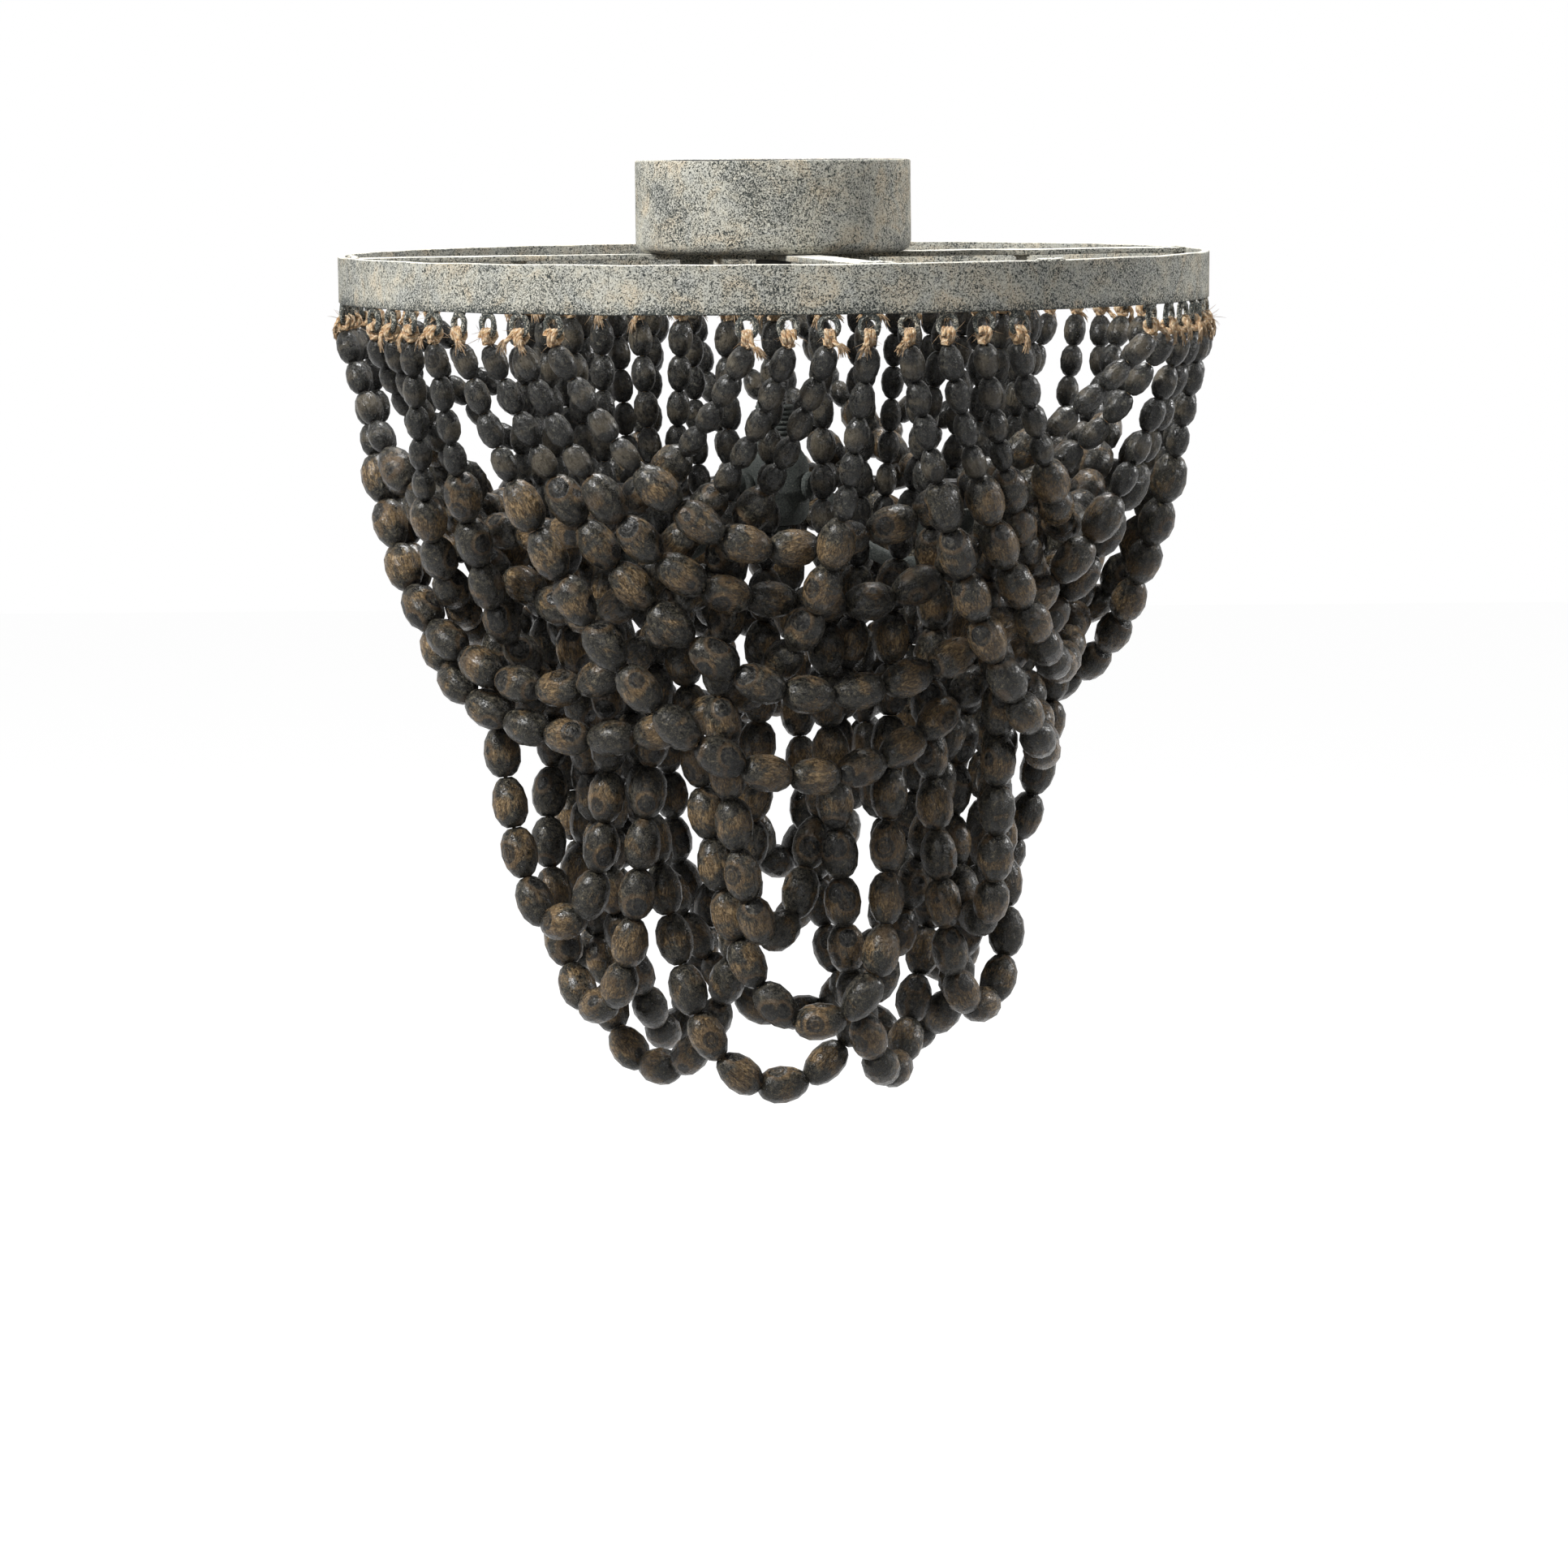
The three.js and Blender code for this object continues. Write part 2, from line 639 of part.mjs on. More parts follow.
const smallBead = { length: SMALL_BEAD_LENGTH, radius: SMALL_BEAD_RADIUS, sides: SMALL_BEAD_SIDES };
const largeBead = { length: LARGE_BEAD_LENGTH, radius: LARGE_BEAD_RADIUS, sides: LARGE_BEAD_SIDES };

// Small beads at both ends and large ones between them, as many as come closest to the length.
function beadsFor(length, smallCounts) {
  const choices = smallCounts.map((smallCount) => {
    const atLeft = Math.floor(smallCount / 2);
    const rest = length - smallCount * SMALL_BEAD_LENGTH;
    const largeCount = Math.round(rest / LARGE_BEAD_LENGTH);
    const error = Math.abs(rest - largeCount * LARGE_BEAD_LENGTH);
    const beads = [
      ...Array(atLeft).fill(smallBead),
      ...Array(largeCount).fill(largeBead),
      ...Array(smallCount - atLeft).fill(smallBead),
    ];
    return { error, beads };
  });
  return choices.sort((a, b) => a.error - b.error)[0].beads;
}

// Threads beads evenly along the curve.
function thread(points, smallCounts) {
  const total = lengthOf(points);
  const beads = beadsFor(total, smallCounts);
  const stretch = total / beads.reduce((sum, bead) => sum + bead.length, 0);
  const nodes = [points[0].clone()];
  let index = 1;
  let passed = 0;
  let wanted = 0;
  for (const bead of beads.slice(0, -1)) {
    wanted += bead.length * stretch;
    while (passed + points[index].distanceTo(points[index - 1]) < wanted) {
      passed += points[index].distanceTo(points[index - 1]);
      index++;
    }
    const share = (wanted - passed) / points[index].distanceTo(points[index - 1]);
    nodes.push(points[index - 1].clone().lerp(points[index], share));
  }
  nodes.push(points.at(-1).clone());
  return { beads, nodes };
}

// Each bead is two balls on its axis. A ball lies between the nodes a and b, at share u of the way.
function ballsOf(strands) {
  const balls = [];
  strands.forEach((strand, s) => {
    strand.beads.forEach((bead, i) => {
      const offset = (bead.length / 2 - bead.radius) / bead.length;
      for (const u of [0.5 - offset, 0.5 + offset]) {
        balls.push({ strand: s, bead: i, a: strand.nodes[i], b: strand.nodes[i + 1], u, radius: bead.radius });
      }
    });
  });
  return balls;
}

function placeBall(ball) {
  ball.x = ball.a.x + (ball.b.x - ball.a.x) * ball.u;
  ball.y = ball.a.y + (ball.b.y - ball.a.y) * ball.u;
  ball.z = ball.a.z + (ball.b.z - ball.a.z) * ball.u;
}

function nearPairs(balls) {
  const cell = 2 * LARGE_BEAD_RADIUS + BEAD_GAP + SEARCH_MARGIN;
  const grid = new Map();
  const key = (i, j, k) => (i * 1024 + j) * 1024 + k;
  const pairs = [];
  balls.forEach((ball) => {
    placeBall(ball);
    const i = Math.floor(ball.x / cell) + 512;
    const j = Math.floor(ball.y / cell) + 512;
    const k = Math.floor(ball.z / cell) + 512;
    for (let di = -1; di <= 1; di++) {
      for (let dj = -1; dj <= 1; dj++) {
        for (let dk = -1; dk <= 1; dk++) {
          for (const other of grid.get(key(i + di, j + dj, k + dk)) ?? []) {
            const apart = ball.strand !== other.strand || Math.abs(ball.bead - other.bead) > 2;
            const reach = ball.radius + other.radius + BEAD_GAP + SEARCH_MARGIN;
            const distance = Math.hypot(ball.x - other.x, ball.y - other.y, ball.z - other.z);
            if (apart && distance < reach) pairs.push([ball, other]);
          }
        }
      }
    }
    const home = key(i, j, k);
    if (!grid.has(home)) grid.set(home, []);
    grid.get(home).push(ball);
  });
  return pairs;
}

function shift(node, x, y, z, share) {
  if (node.fixed) return;
  node.x += x * share;
  node.y += y * share;
  node.z += z * share;
}

function keepApart(pairs) {
  for (const [p, q] of pairs) {
    placeBall(p);
    placeBall(q);
    const x = p.x - q.x;
    const y = p.y - q.y;
    const z = p.z - q.z;
    const distance = Math.sqrt(x * x + y * y + z * z);
    const overlap = p.radius + q.radius + BEAD_GAP - distance;
    if (overlap <= 0) continue;
    const push = overlap / distance / 2;
    shift(p.a, x, y, z, push * 2 * (1 - p.u));
    shift(p.b, x, y, z, push * 2 * p.u);
    shift(q.a, x, y, z, -push * 2 * (1 - q.u));
    shift(q.b, x, y, z, -push * 2 * q.u);
  }
}

function keepLength(a, b, length) {
  const x = b.x - a.x;
  const y = b.y - a.y;
  const z = b.z - a.z;
  const distance = Math.sqrt(x * x + y * y + z * z);
  const share = (distance - length) / distance / (a.fixed || b.fixed ? 1 : 2);
  shift(a, x, y, z, share);
  shift(b, x, y, z, -share);
}

function keepLengths(strands) {
  for (const { beads, nodes } of strands) {
    for (let i = 0; i < beads.length; i++) keepLength(nodes[i], nodes[i + 1], beads[i].length);
    for (let i = beads.length - 1; i >= 0; i--) keepLength(nodes[i], nodes[i + 1], beads[i].length);
  }
}

function settle(strands) {
  for (const { nodes } of strands) {
    nodes[0].fixed = true;
    nodes.at(-1).fixed = true;
  }
  const balls = ballsOf(strands);
  let pairs = [];
  for (let round = 0; round < SETTLE_ROUNDS + REST_ROUNDS; round++) {
    if (round % SEARCH_ROUNDS === 0) pairs = nearPairs(balls);
    const sink = SINK_STEP * Math.max(0, 1 - round / SETTLE_ROUNDS);
    for (const { nodes } of strands) nodes.forEach((node) => shift(node, 0, 0, -sink, 1));
    keepLengths(strands);
    keepApart(pairs);
    keepLengths(strands);
    keepApart(pairs);
  }
}

// A strand as one solid: knot, beads and knot on their twine
function strandSolid({ beads, nodes }) {
  const knotTop = (node) => new THREE.Vector3(node.x, node.y, node.z + KNOT_LENGTH);
  const points = [knotTop(nodes[0]), nodes[0]];
  const radii = [KNOT_RADIUS, beads[0].radius * NECK_SHARE];
  const sides = [KNOT_SIDES, NECK_SIDES];
  beads.forEach((bead, i) => {
    const next = beads[i + 1] ?? bead;
    points.push(new THREE.Vector3().addVectors(nodes[i], nodes[i + 1]).multiplyScalar(0.5), nodes[i + 1]);
    radii.push(bead.radius, Math.min(bead.radius, next.radius) * NECK_SHARE);
    sides.push(bead.sides, NECK_SIDES);
  });
  points.push(knotTop(nodes.at(-1)));
  radii.push(KNOT_RADIUS);
  sides.push(KNOT_SIDES);
  return loftedTube(points, radii, sides);
}

function variedDrop(drop, seed) {
  return drop * (1 + DROP_VARIATION_SHARE * Math.sin(seed * SEED_STEP));
}

// Each family of swags leads from the last half of one group of eyelets to the first half of a later group.
const swagTop = eyeletBottom - SEAT_GAP - KNOT_LENGTH;
const loopTop = innerRodZ - INNER_ROD_RADIUS - SEAT_GAP - KNOT_LENGTH;
const swagRestRadius = INNER_RING_RADIUS + LARGE_BEAD_RADIUS; // the loops' beads stand in the way further in
const strands = [];

for (let family = 0; family < EYELET_GROUPS; family++) {
  SWAG_DROPS.forEach((drop, i) => {
    const curve = hangingCurve({
      left: eyeletAzimuth(family - 1, EYELETS_PER_GROUP - 1 - i),
      right: eyeletAzimuth(family - 1 + SWAG_GROUPS_SPANNED, i),
      anchorRadius: bandMiddleRadius,
      restRadius: swagRestRadius,
      top: swagTop,
      drop: variedDrop(drop, family * SWAG_DROPS.length + i),
      layerOut: 0,
      layerIn: LARGE_BEAD_RADIUS,
    });
    strands.push({ name: `outer_strand_${family + 1}${"abcd"[i]}`, ...thread(curve, SWAG_SMALL_BEADS) });
  });
}

// The loops' ends alternate with those of the next family: each loop reaches in among its neighbours' ends.
for (let family = 0; family < EYELET_GROUPS; family++) {
  LOOP_DROPS.forEach((drop, i) => {
    const middle = FIRST_LOOP_AZIMUTH + family * groupStep;
    const halfSpan = groupStep / 2 + LOOP_STEP * (2 * i - LOOP_DROPS.length / 2);
    const curve = hangingCurve({
      left: middle - halfSpan,
      right: middle + halfSpan,
      anchorRadius: INNER_RING_RADIUS,
      restRadius: 0,
      top: loopTop,
      drop: variedDrop(drop, family * LOOP_DROPS.length + i),
      layerOut: SMALL_BEAD_RADIUS,
      layerIn: SMALL_BEAD_RADIUS,
    });
    strands.push({ name: `inner_strand_${family + 1}${"abc"[i]}`, ...thread(curve, LOOP_SMALL_BEADS) });
  });
}
settle(strands);

// Assembly
addMesh("canopy_cup", canopyCup(), metal);
const hardware = new THREE.Group();
hardware.rotation.z = THREE.MathUtils.degToRad(BAR_AZIMUTH - 90);
part.add(hardware);
addMesh("mounting_bar", mountingBar(), darkSteel, hardware);
for (const [side, azimuth] of Object.entries(studAzimuths)) {
  const centre = at(azimuth, STUD_SPACING / 2);
  addMesh(`canopy_stud_${side}`, canopyStud(), brass).position.copy(centre);
  addMesh(`cap_nut_${side}`, capNut(), metal).position.copy(centre);
}
addMesh("outer_band", outerBand(), metal);
addMesh("cross_frame", crossFrame(), metal);
addMesh("stem", stem(), darkSteel);
addMesh("stem_nut", stemNut(), darkSteel);
addMesh("lamp_hub", lampHub(), metal);
addMesh("hub_finial", finial(), metal);
for (let i = 0; i < ARM_COUNT; i++) {
  const azimuth = THREE.MathUtils.degToRad(armAzimuth(i));
  addMesh(`lamp_arm_${i + 1}`, lampArm(), metal).rotation.z = azimuth;
  addMesh(`lampholder_${i + 1}`, lampholder(), phenolic).rotation.z = azimuth;
}
for (const strand of strands) addMesh(strand.name, strandSolid(strand), wood);

export default part;
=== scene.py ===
import math
import random

import bmesh
import bpy
from mathutils import Matrix, Vector, noise


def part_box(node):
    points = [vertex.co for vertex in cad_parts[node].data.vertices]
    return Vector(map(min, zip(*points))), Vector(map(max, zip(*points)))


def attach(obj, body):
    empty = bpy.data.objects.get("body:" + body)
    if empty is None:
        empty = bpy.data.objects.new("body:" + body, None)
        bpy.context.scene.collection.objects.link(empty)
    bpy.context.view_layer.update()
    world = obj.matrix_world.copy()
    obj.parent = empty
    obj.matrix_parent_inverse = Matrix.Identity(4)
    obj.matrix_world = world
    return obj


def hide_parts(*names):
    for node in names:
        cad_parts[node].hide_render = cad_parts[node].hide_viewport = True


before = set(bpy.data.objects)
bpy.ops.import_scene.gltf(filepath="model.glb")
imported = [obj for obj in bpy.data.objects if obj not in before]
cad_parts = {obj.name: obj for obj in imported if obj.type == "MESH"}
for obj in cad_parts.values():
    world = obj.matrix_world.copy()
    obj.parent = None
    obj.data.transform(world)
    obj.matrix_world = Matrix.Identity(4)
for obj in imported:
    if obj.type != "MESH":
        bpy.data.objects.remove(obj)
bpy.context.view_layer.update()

# Canopy: a shallow cup of thin sheet steel that covers the ceiling box. It is spun, so its lower edge is
# round, its open rim is a little rolled, and dents show in its wall. Like all the frame it is painted light
# grey and then distressed: the paint is crusty, and dark metal shows through it in countless small specks.
MM = 0.001
CANOPY_RADIUS = 60.3
CANOPY_HEIGHT = 40
CANOPY_WALL = 1.5
CANOPY_CORNER = 5
CANOPY_DENT = 0.22
CANOPY_HOLE = 5.4
DENT_SEED = 3
SHARP_ANGLE = math.radians(38)


def colour(red, green, blue):
    """A colour as it is read off a screen, made linear."""
    shares = (red / 255, green / 255, blue / 255)
    return [((c + 0.055) / 1.055) ** 2.4 if c > 0.04 else c / 12.92 for c in shares] + [1]


def new_material(name, roughness=0.5, metallic=0.0):
    material = bpy.data.materials.new(name)
    material.use_nodes = True
    surface = material.node_tree.nodes["Principled BSDF"]
    surface.inputs["Roughness"].default_value = roughness
    surface.inputs["Metallic"].default_value = metallic
    return material, material.node_tree, surface


def add(tree, kind, inputs, **settings):
    """Adds a shader node. Its inputs are numbers, colours or the outputs of other nodes."""
    made = tree.nodes.new("ShaderNode" + kind)
    for name, value in settings.items():
        setattr(made, name, value)
    for name, value in inputs.items():
        if isinstance(value, bpy.types.NodeSocket):
            tree.links.new(value, made.inputs[name])
        else:
            made.inputs[name].default_value = value
    return made.outputs[0]


def clouds(tree, place, scale, detail=4.0, rough=0.6, twist=0.0):
    values = {"Vector": place, "Scale": scale, "Detail": detail, "Roughness": rough, "Distortion": twist}
    return add(tree, "TexNoise", values)


def ramp(tree, value, *stops):
    """A colour ramp over value, from (position, colour or grey level) stops."""
    made = tree.nodes.new("ShaderNodeValToRGB")
    tree.links.new(value, made.inputs["Fac"])
    points = made.color_ramp.elements
    while len(points) < len(stops):
        points.new(0.5)
    for point, (position, shade) in zip(points, stops):
        point.position = position
        point.color = shade if isinstance(shade, list) else (shade, shade, shade, 1)
    return made.outputs["Color"]


def mixed(tree, share, first, second, how="MIX"):
    return add(tree, "MixRGB", {"Fac": share, "Color1": first, "Color2": second}, blend_type=how)


def maths(tree, how, first, second=0.0, third=0.0):
    made = tree.nodes.new("ShaderNodeMath")
    made.operation = how
    for socket, value in zip(made.inputs, (first, second, third)):
        if isinstance(value, bpy.types.NodeSocket):
            tree.links.new(value, socket)
        else:
            socket.default_value = value
    return made.outputs[0]


def bump(tree, surface, height, strength, distance):
    normal = add(tree, "Bump", {"Height": height, "Strength": strength, "Distance": distance})
    tree.links.new(normal, surface.inputs["Normal"])


def distressed_paint():
    material, tree, surface = new_material("distressed_paint")
    place = tree.nodes.new("ShaderNodeTexCoord").outputs["Object"]
    patches = clouds(tree, place, 36, 3, 0.55, 0.4)
    worms = clouds(tree, place, 620, 3, 0.62, 2.6)
    specks = clouds(tree, place, 1500, 3, 0.6, 0.8)
    stains = clouds(tree, place, 70, 4, 0.6, 0.8)
    worn = maths(tree, "MULTIPLY_ADD", specks, 0.4, maths(tree, "MULTIPLY_ADD", patches, 0.22, worms))

    # The paint wore off most along the band's lower edge. Further down the colour is darker still, so that
    # the hub and the arms come out nearly all dark metal.
    split = tree.nodes.new("ShaderNodeSeparateXYZ")
    tree.links.new(place, split.inputs[0])
    low = ramp(tree, maths(tree, "MULTIPLY_ADD", split.outputs[2], 220, 13.3), (0.0, 0.1), (1.0, 0.0))
    deep = ramp(tree, maths(tree, "MULTIPLY_ADD", split.outputs[2], 25, 2.6), (0.3, 0.16), (0.6, 0.0))
    worn = maths(tree, "SUBTRACT", maths(tree, "SUBTRACT", worn, low), deep)
    bare = ramp(tree, maths(tree, "MULTIPLY", worn, 0.62), (0.455, 0.0), (0.485, 1.0))
    paint = ramp(
        tree, stains,
        (0.36, colour(178, 179, 172)), (0.5, colour(190, 188, 175)), (0.66, colour(202, 190, 167)),
    )
    chalk = ramp(tree, specks, (0.52, 0.0), (0.64, 0.7))
    paint = mixed(tree, chalk, paint, colour(222, 220, 210))
    metal = ramp(tree, specks, (0.36, colour(46, 51, 51)), (0.64, colour(94, 98, 93)))
    final = mixed(tree, bare, metal, paint)
    # Faces that point up are mixed towards near white. This is a painted highlight for the light that falls
    # on them from above.
    dust_and_top_highlight = add(tree, "Attribute", {}, attribute_name="painted_top_highlight").node.outputs["Fac"]
    final = mixed(tree, ramp(tree, dust_and_top_highlight, (0.5, 0.0), (0.85, 0.8)), final, colour(240, 237, 226))
    tree.links.new(final, surface.inputs["Base Color"])
    surface.inputs["Specular IOR Level"].default_value = 0.25
    tree.links.new(ramp(tree, worn, (0.4, 0.55), (0.56, 0.85)), surface.inputs["Roughness"])
    crust = maths(tree, "MULTIPLY_ADD", specks, 0.5, maths(tree, "MULTIPLY", bare, 0.4))
    bump(tree, surface, crust, 1.0, 0.0009)
    return material


def turned(outline, steps):
    """A new mesh, spun about the vertical axis from an outline of (radius, height) pairs in millimetres."""
    shape = bmesh.new()
    points = [shape.verts.new((radius * MM, 0, height * MM)) for radius, height in outline]
    edges = [shape.edges.new(pair) for pair in zip(points, points[1:])]
    if outline[0][0] > 0 or outline[-1][0] > 0:
        edges.append(shape.edges.new((points[-1], points[0])))
    bmesh.ops.spin(
        shape, geom=points + edges, cent=(0, 0, 0), axis=(0, 0, 1), angle=math.tau, steps=steps,
        use_merge=True,
    )
    bmesh.ops.remove_doubles(shape, verts=shape.verts, dist=1e-6)
    bmesh.ops.dissolve_degenerate(shape, edges=shape.edges, dist=1e-7)
    bmesh.ops.recalc_face_normals(shape, faces=shape.faces)
    return shape


def arc(centre_x, centre_z, radius, start, end, steps):
    turns = [math.radians(start + (end - start) * i / steps) for i in range(steps + 1)]
    return [(centre_x + radius * math.cos(a), centre_z + radius * math.sin(a)) for a in turns]


def soften(shape, width, segments=2, angle=50):
    edges = [e for e in shape.edges if e.is_manifold and math.degrees(e.calc_face_angle()) > angle]
    bmesh.ops.bevel(
        shape, geom=edges, offset=width * MM, segments=segments, profile=0.5, affect="EDGES", material=-1,
        clamp_overlap=True,
    )
    return shape


def put(shape, other, place=Matrix()):
    """Adds the other mesh to this one, moved to its place."""
    held = bpy.data.meshes.new("held")
    other.to_mesh(held)
    held.transform(place)
    shape.from_mesh(held)
    bpy.data.meshes.remove(held)


def azimuth_turn(azimuth):
    return Matrix.Rotation(math.radians(azimuth), 4, "Z")


def dent(shape, depth, size, seed):
    for vert in shape.verts:
        push = noise.noise_vector(vert.co / (size * MM) + Vector((seed, 0, 0)))
        vert.co += push * depth * MM


def paint_top_highlight(shape):
    """Marks what faces up, where the paint gets a painted highlight: a pale colour for the light that falls
    on it from above.
    """
    shape.normal_update()
    top_highlight_layer = shape.verts.layers.float.new("painted_top_highlight")
    for vert in shape.verts:
        vert[top_highlight_layer] = max(0.0, vert.normal.z)


def finished(name, shape, body, material, nodes=()):
    mesh = bpy.data.meshes.new(name)
    shape.to_mesh(mesh)
    shape.free()
    mesh.materials.append(material)
    mesh.polygons.foreach_set("use_smooth", [True] * len(mesh.polygons))
    mesh.set_sharp_from_angle(angle=SHARP_ANGLE)
    made = bpy.data.objects.new(name, mesh)
    bpy.context.scene.collection.objects.link(made)
    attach(made, body)
    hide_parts(*nodes)
    return made


# Blender seeds its noise from the clock, and the dents have to be the same in each run.
noise.seed_set(DENT_SEED)
paint = distressed_paint()
inside = CANOPY_RADIUS - CANOPY_WALL
corner_x = CANOPY_RADIUS - CANOPY_CORNER
corner_z = -CANOPY_HEIGHT + CANOPY_CORNER
canopy = turned(
    [(CANOPY_HOLE, -CANOPY_HEIGHT + CANOPY_WALL), (CANOPY_HOLE, -CANOPY_HEIGHT)]
    + [(corner_x * share, -CANOPY_HEIGHT) for share in (0.35, 0.6, 0.85)]
    + arc(corner_x, corner_z, CANOPY_CORNER, -90, 0, 6)
    + [(CANOPY_RADIUS, corner_z * share) for share in (0.75, 0.5, 0.25)]
    + arc(CANOPY_RADIUS - CANOPY_WALL / 2, -CANOPY_WALL / 2, CANOPY_WALL / 2, 0, 180, 4)
    + [(inside, corner_z * share) for share in (0.25, 0.5, 0.75)]
    + arc(corner_x, corner_z, CANOPY_CORNER - CANOPY_WALL, 0, -90, 5)
    + [(corner_x * share, -CANOPY_HEIGHT + CANOPY_WALL) for share in (0.85, 0.6, 0.35)],
    112,
)
dent(canopy, CANOPY_DENT, 22, 1)
finished("spun_canopy", canopy, "fixture", paint, ["canopy_cup"])

# Mounting bar, studs and cap nuts: a punched steel strip that is screwed to the ceiling box, two threaded
# brass studs that stand down from it, and the domed nuts that hold the canopy up on them. The nuts are
# painted with the canopy. The bar keeps its solid's shape, and studs and nuts get their threads and domes.
STUD_PITCH = 0.8
STUD_ROOT = 1.65
STUD_RADIUS = 2.0
NUT_RADIUS = 5.0
NUT_HEX_HEIGHT = 4.0
NUT_DOME_HEIGHT = 5.0


def worn_steel():
    material, tree, surface = new_material("worn_steel", metallic=0.75)
    place = tree.nodes.new("ShaderNodeTexCoord").outputs["Object"]
    grime = clouds(tree, place, 160, 5, 0.65, 0.5)
    scratches = clouds(tree, add(tree, "Mapping", {"Vector": place, "Scale": (1, 1, 9)}), 500, 3)
    shade = ramp(
        tree, grime, (0.35, colour(52, 53, 54)), (0.55, colour(86, 86, 84)), (0.75, colour(112, 104, 92))
    )
    tree.links.new(shade, surface.inputs["Base Color"])
    tree.links.new(ramp(tree, scratches, (0.3, 0.42), (0.7, 0.68)), surface.inputs["Roughness"])
    bump(tree, surface, scratches, 0.25, 0.0003)
    return material


def dull_brass():
    material, tree, surface = new_material("dull_brass", metallic=0.9)
    place = tree.nodes.new("ShaderNodeTexCoord").outputs["Object"]
    tarnish = clouds(tree, place, 350, 5, 0.6, 0.4)
    shade = ramp(tree, tarnish, (0.35, colour(98, 76, 42)), (0.6, colour(168, 140, 84)))
    tree.links.new(shade, surface.inputs["Base Color"])
    tree.links.new(ramp(tree, tarnish, (0.3, 0.5), (0.7, 0.3)), surface.inputs["Roughness"])
    bump(tree, surface, tarnish, 0.15, 0.0002)
    return material


def threaded(low, high, radius, root, pitch):
    """The outline of a threaded rod, from the axis at its lower end to the axis at its upper end."""
    turns = int((high - low - pitch) / pitch)
    outline = [(0, low), (root, low)]
    for i in range(turns):
        outline += [(radius, low + (i + 0.75) * pitch), (root, low + (i + 1.25) * pitch)]
    return outline + [(root, high), (0, high)]


steel = worn_steel()
brass = dull_brass()
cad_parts["mounting_bar"].data.materials.clear()
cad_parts["mounting_bar"].data.materials.append(steel)
for side in ("left", "right"):
    stud_low, stud_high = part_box(f"canopy_stud_{side}")
    stud_place = Matrix.Translation(((stud_low + stud_high) / 2).to_2d().to_3d())
    stud = turned(threaded(stud_low.z / MM, stud_high.z / MM, STUD_RADIUS, STUD_ROOT, STUD_PITCH), 20)
    nut_top = stud_high.z / MM - 2.5
    lock_nut = bmesh.new()
    bmesh.ops.create_cone(lock_nut, cap_ends=True, segments=6, radius1=4 * MM, radius2=4 * MM, depth=3 * MM)
    soften(lock_nut, 0.35)
    put(stud, lock_nut, Matrix.Translation((0, 0, (nut_top - 1.5) * MM)))
    stud.transform(stud_place)
    finished(f"threaded_stud_{side}", stud, "fixture", brass, [f"canopy_stud_{side}"])
    nut_low, nut_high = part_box(f"cap_nut_{side}")
    nut_middle = (nut_low + nut_high) / 2
    hexagon = bmesh.new()
    bmesh.ops.create_cone(
        hexagon, cap_ends=True, segments=6, radius1=NUT_RADIUS * MM, radius2=NUT_RADIUS * MM,
        depth=NUT_HEX_HEIGHT * MM,
    )
    soften(hexagon, 0.4)
    nut = bmesh.new()
    hexagon_middle = nut_high.z - NUT_HEX_HEIGHT / 2 * MM
    put(nut, hexagon, Matrix.Translation((nut_middle.x, nut_middle.y, hexagon_middle)))
    dome_radius = NUT_RADIUS * 0.86
    dome = turned(
        [(0, -NUT_DOME_HEIGHT)]
        + [
            (dome_radius * math.cos(angle), -NUT_DOME_HEIGHT * math.sin(angle))
            for angle in (1.35, 1.1, 0.85, 0.6, 0.35, 0.1)
        ]
        + [(dome_radius, 0), (dome_radius, 0.4), (0, 0.4)],
        28,
    )
    put(nut, dome, Matrix.Translation((nut_middle.x, nut_middle.y, nut_high.z - NUT_HEX_HEIGHT * MM)))
    finished(f"domed_nut_{side}", nut, f"cap_nut_{side}", paint, [f"cap_nut_{side}"])

# Outer band: a strip of flat steel, rolled into a hoop and welded shut, with six groups of eight eyelets
# under it. The eyelets are loops of round wire that were welded on by hand, so no two of them stand alike.
RING_RADIUS = 190.5
BAND_THICKNESS = 3.4
BAND_TOP = -40.3
BAND_BOTTOM = -60.3
EYELET_RADIUS = 4.9
EYELET_HEIGHT = 11
EYELET_WIRE = 1.25
EYELET_GROUPS = 6
EYELETS_PER_GROUP = 8
FIRST_EYELET = -3.2
EYELET_STEP = 5
EYELET_WELD = 0.6
EYELET_CENTRE = BAND_BOTTOM - EYELET_HEIGHT / 2 + EYELET_WELD
hand = random.Random(11)

band = turned(
    [
        (RING_RADIUS - BAND_THICKNESS, BAND_BOTTOM),
        (RING_RADIUS - BAND_THICKNESS / 2, BAND_BOTTOM - 0.15),
        (RING_RADIUS, BAND_BOTTOM),
        (RING_RADIUS, BAND_BOTTOM * 0.7 + BAND_TOP * 0.3),
        (RING_RADIUS, BAND_BOTTOM * 0.35 + BAND_TOP * 0.65),
        (RING_RADIUS, BAND_TOP),
        (RING_RADIUS - BAND_THICKNESS / 2, BAND_TOP + 0.15),
        (RING_RADIUS - BAND_THICKNESS, BAND_TOP),
        (RING_RADIUS - BAND_THICKNESS, BAND_BOTTOM * 0.5 + BAND_TOP * 0.5),
    ],
    300,
)
soften(band, 0.35, 1, 60)
dent(band, 0.3, 24, 5)


def weld_lump(width, length, height, seed):
    """A small rough mound of weld metal."""
    lump = bmesh.new()
    bmesh.ops.create_icosphere(lump, subdivisions=2, radius=MM)
    bmesh.ops.transform(lump, matrix=Matrix.Diagonal((width, length, height, 1)), verts=lump.verts)
    dent(lump, 0.45, 1.6, seed)
    return lump


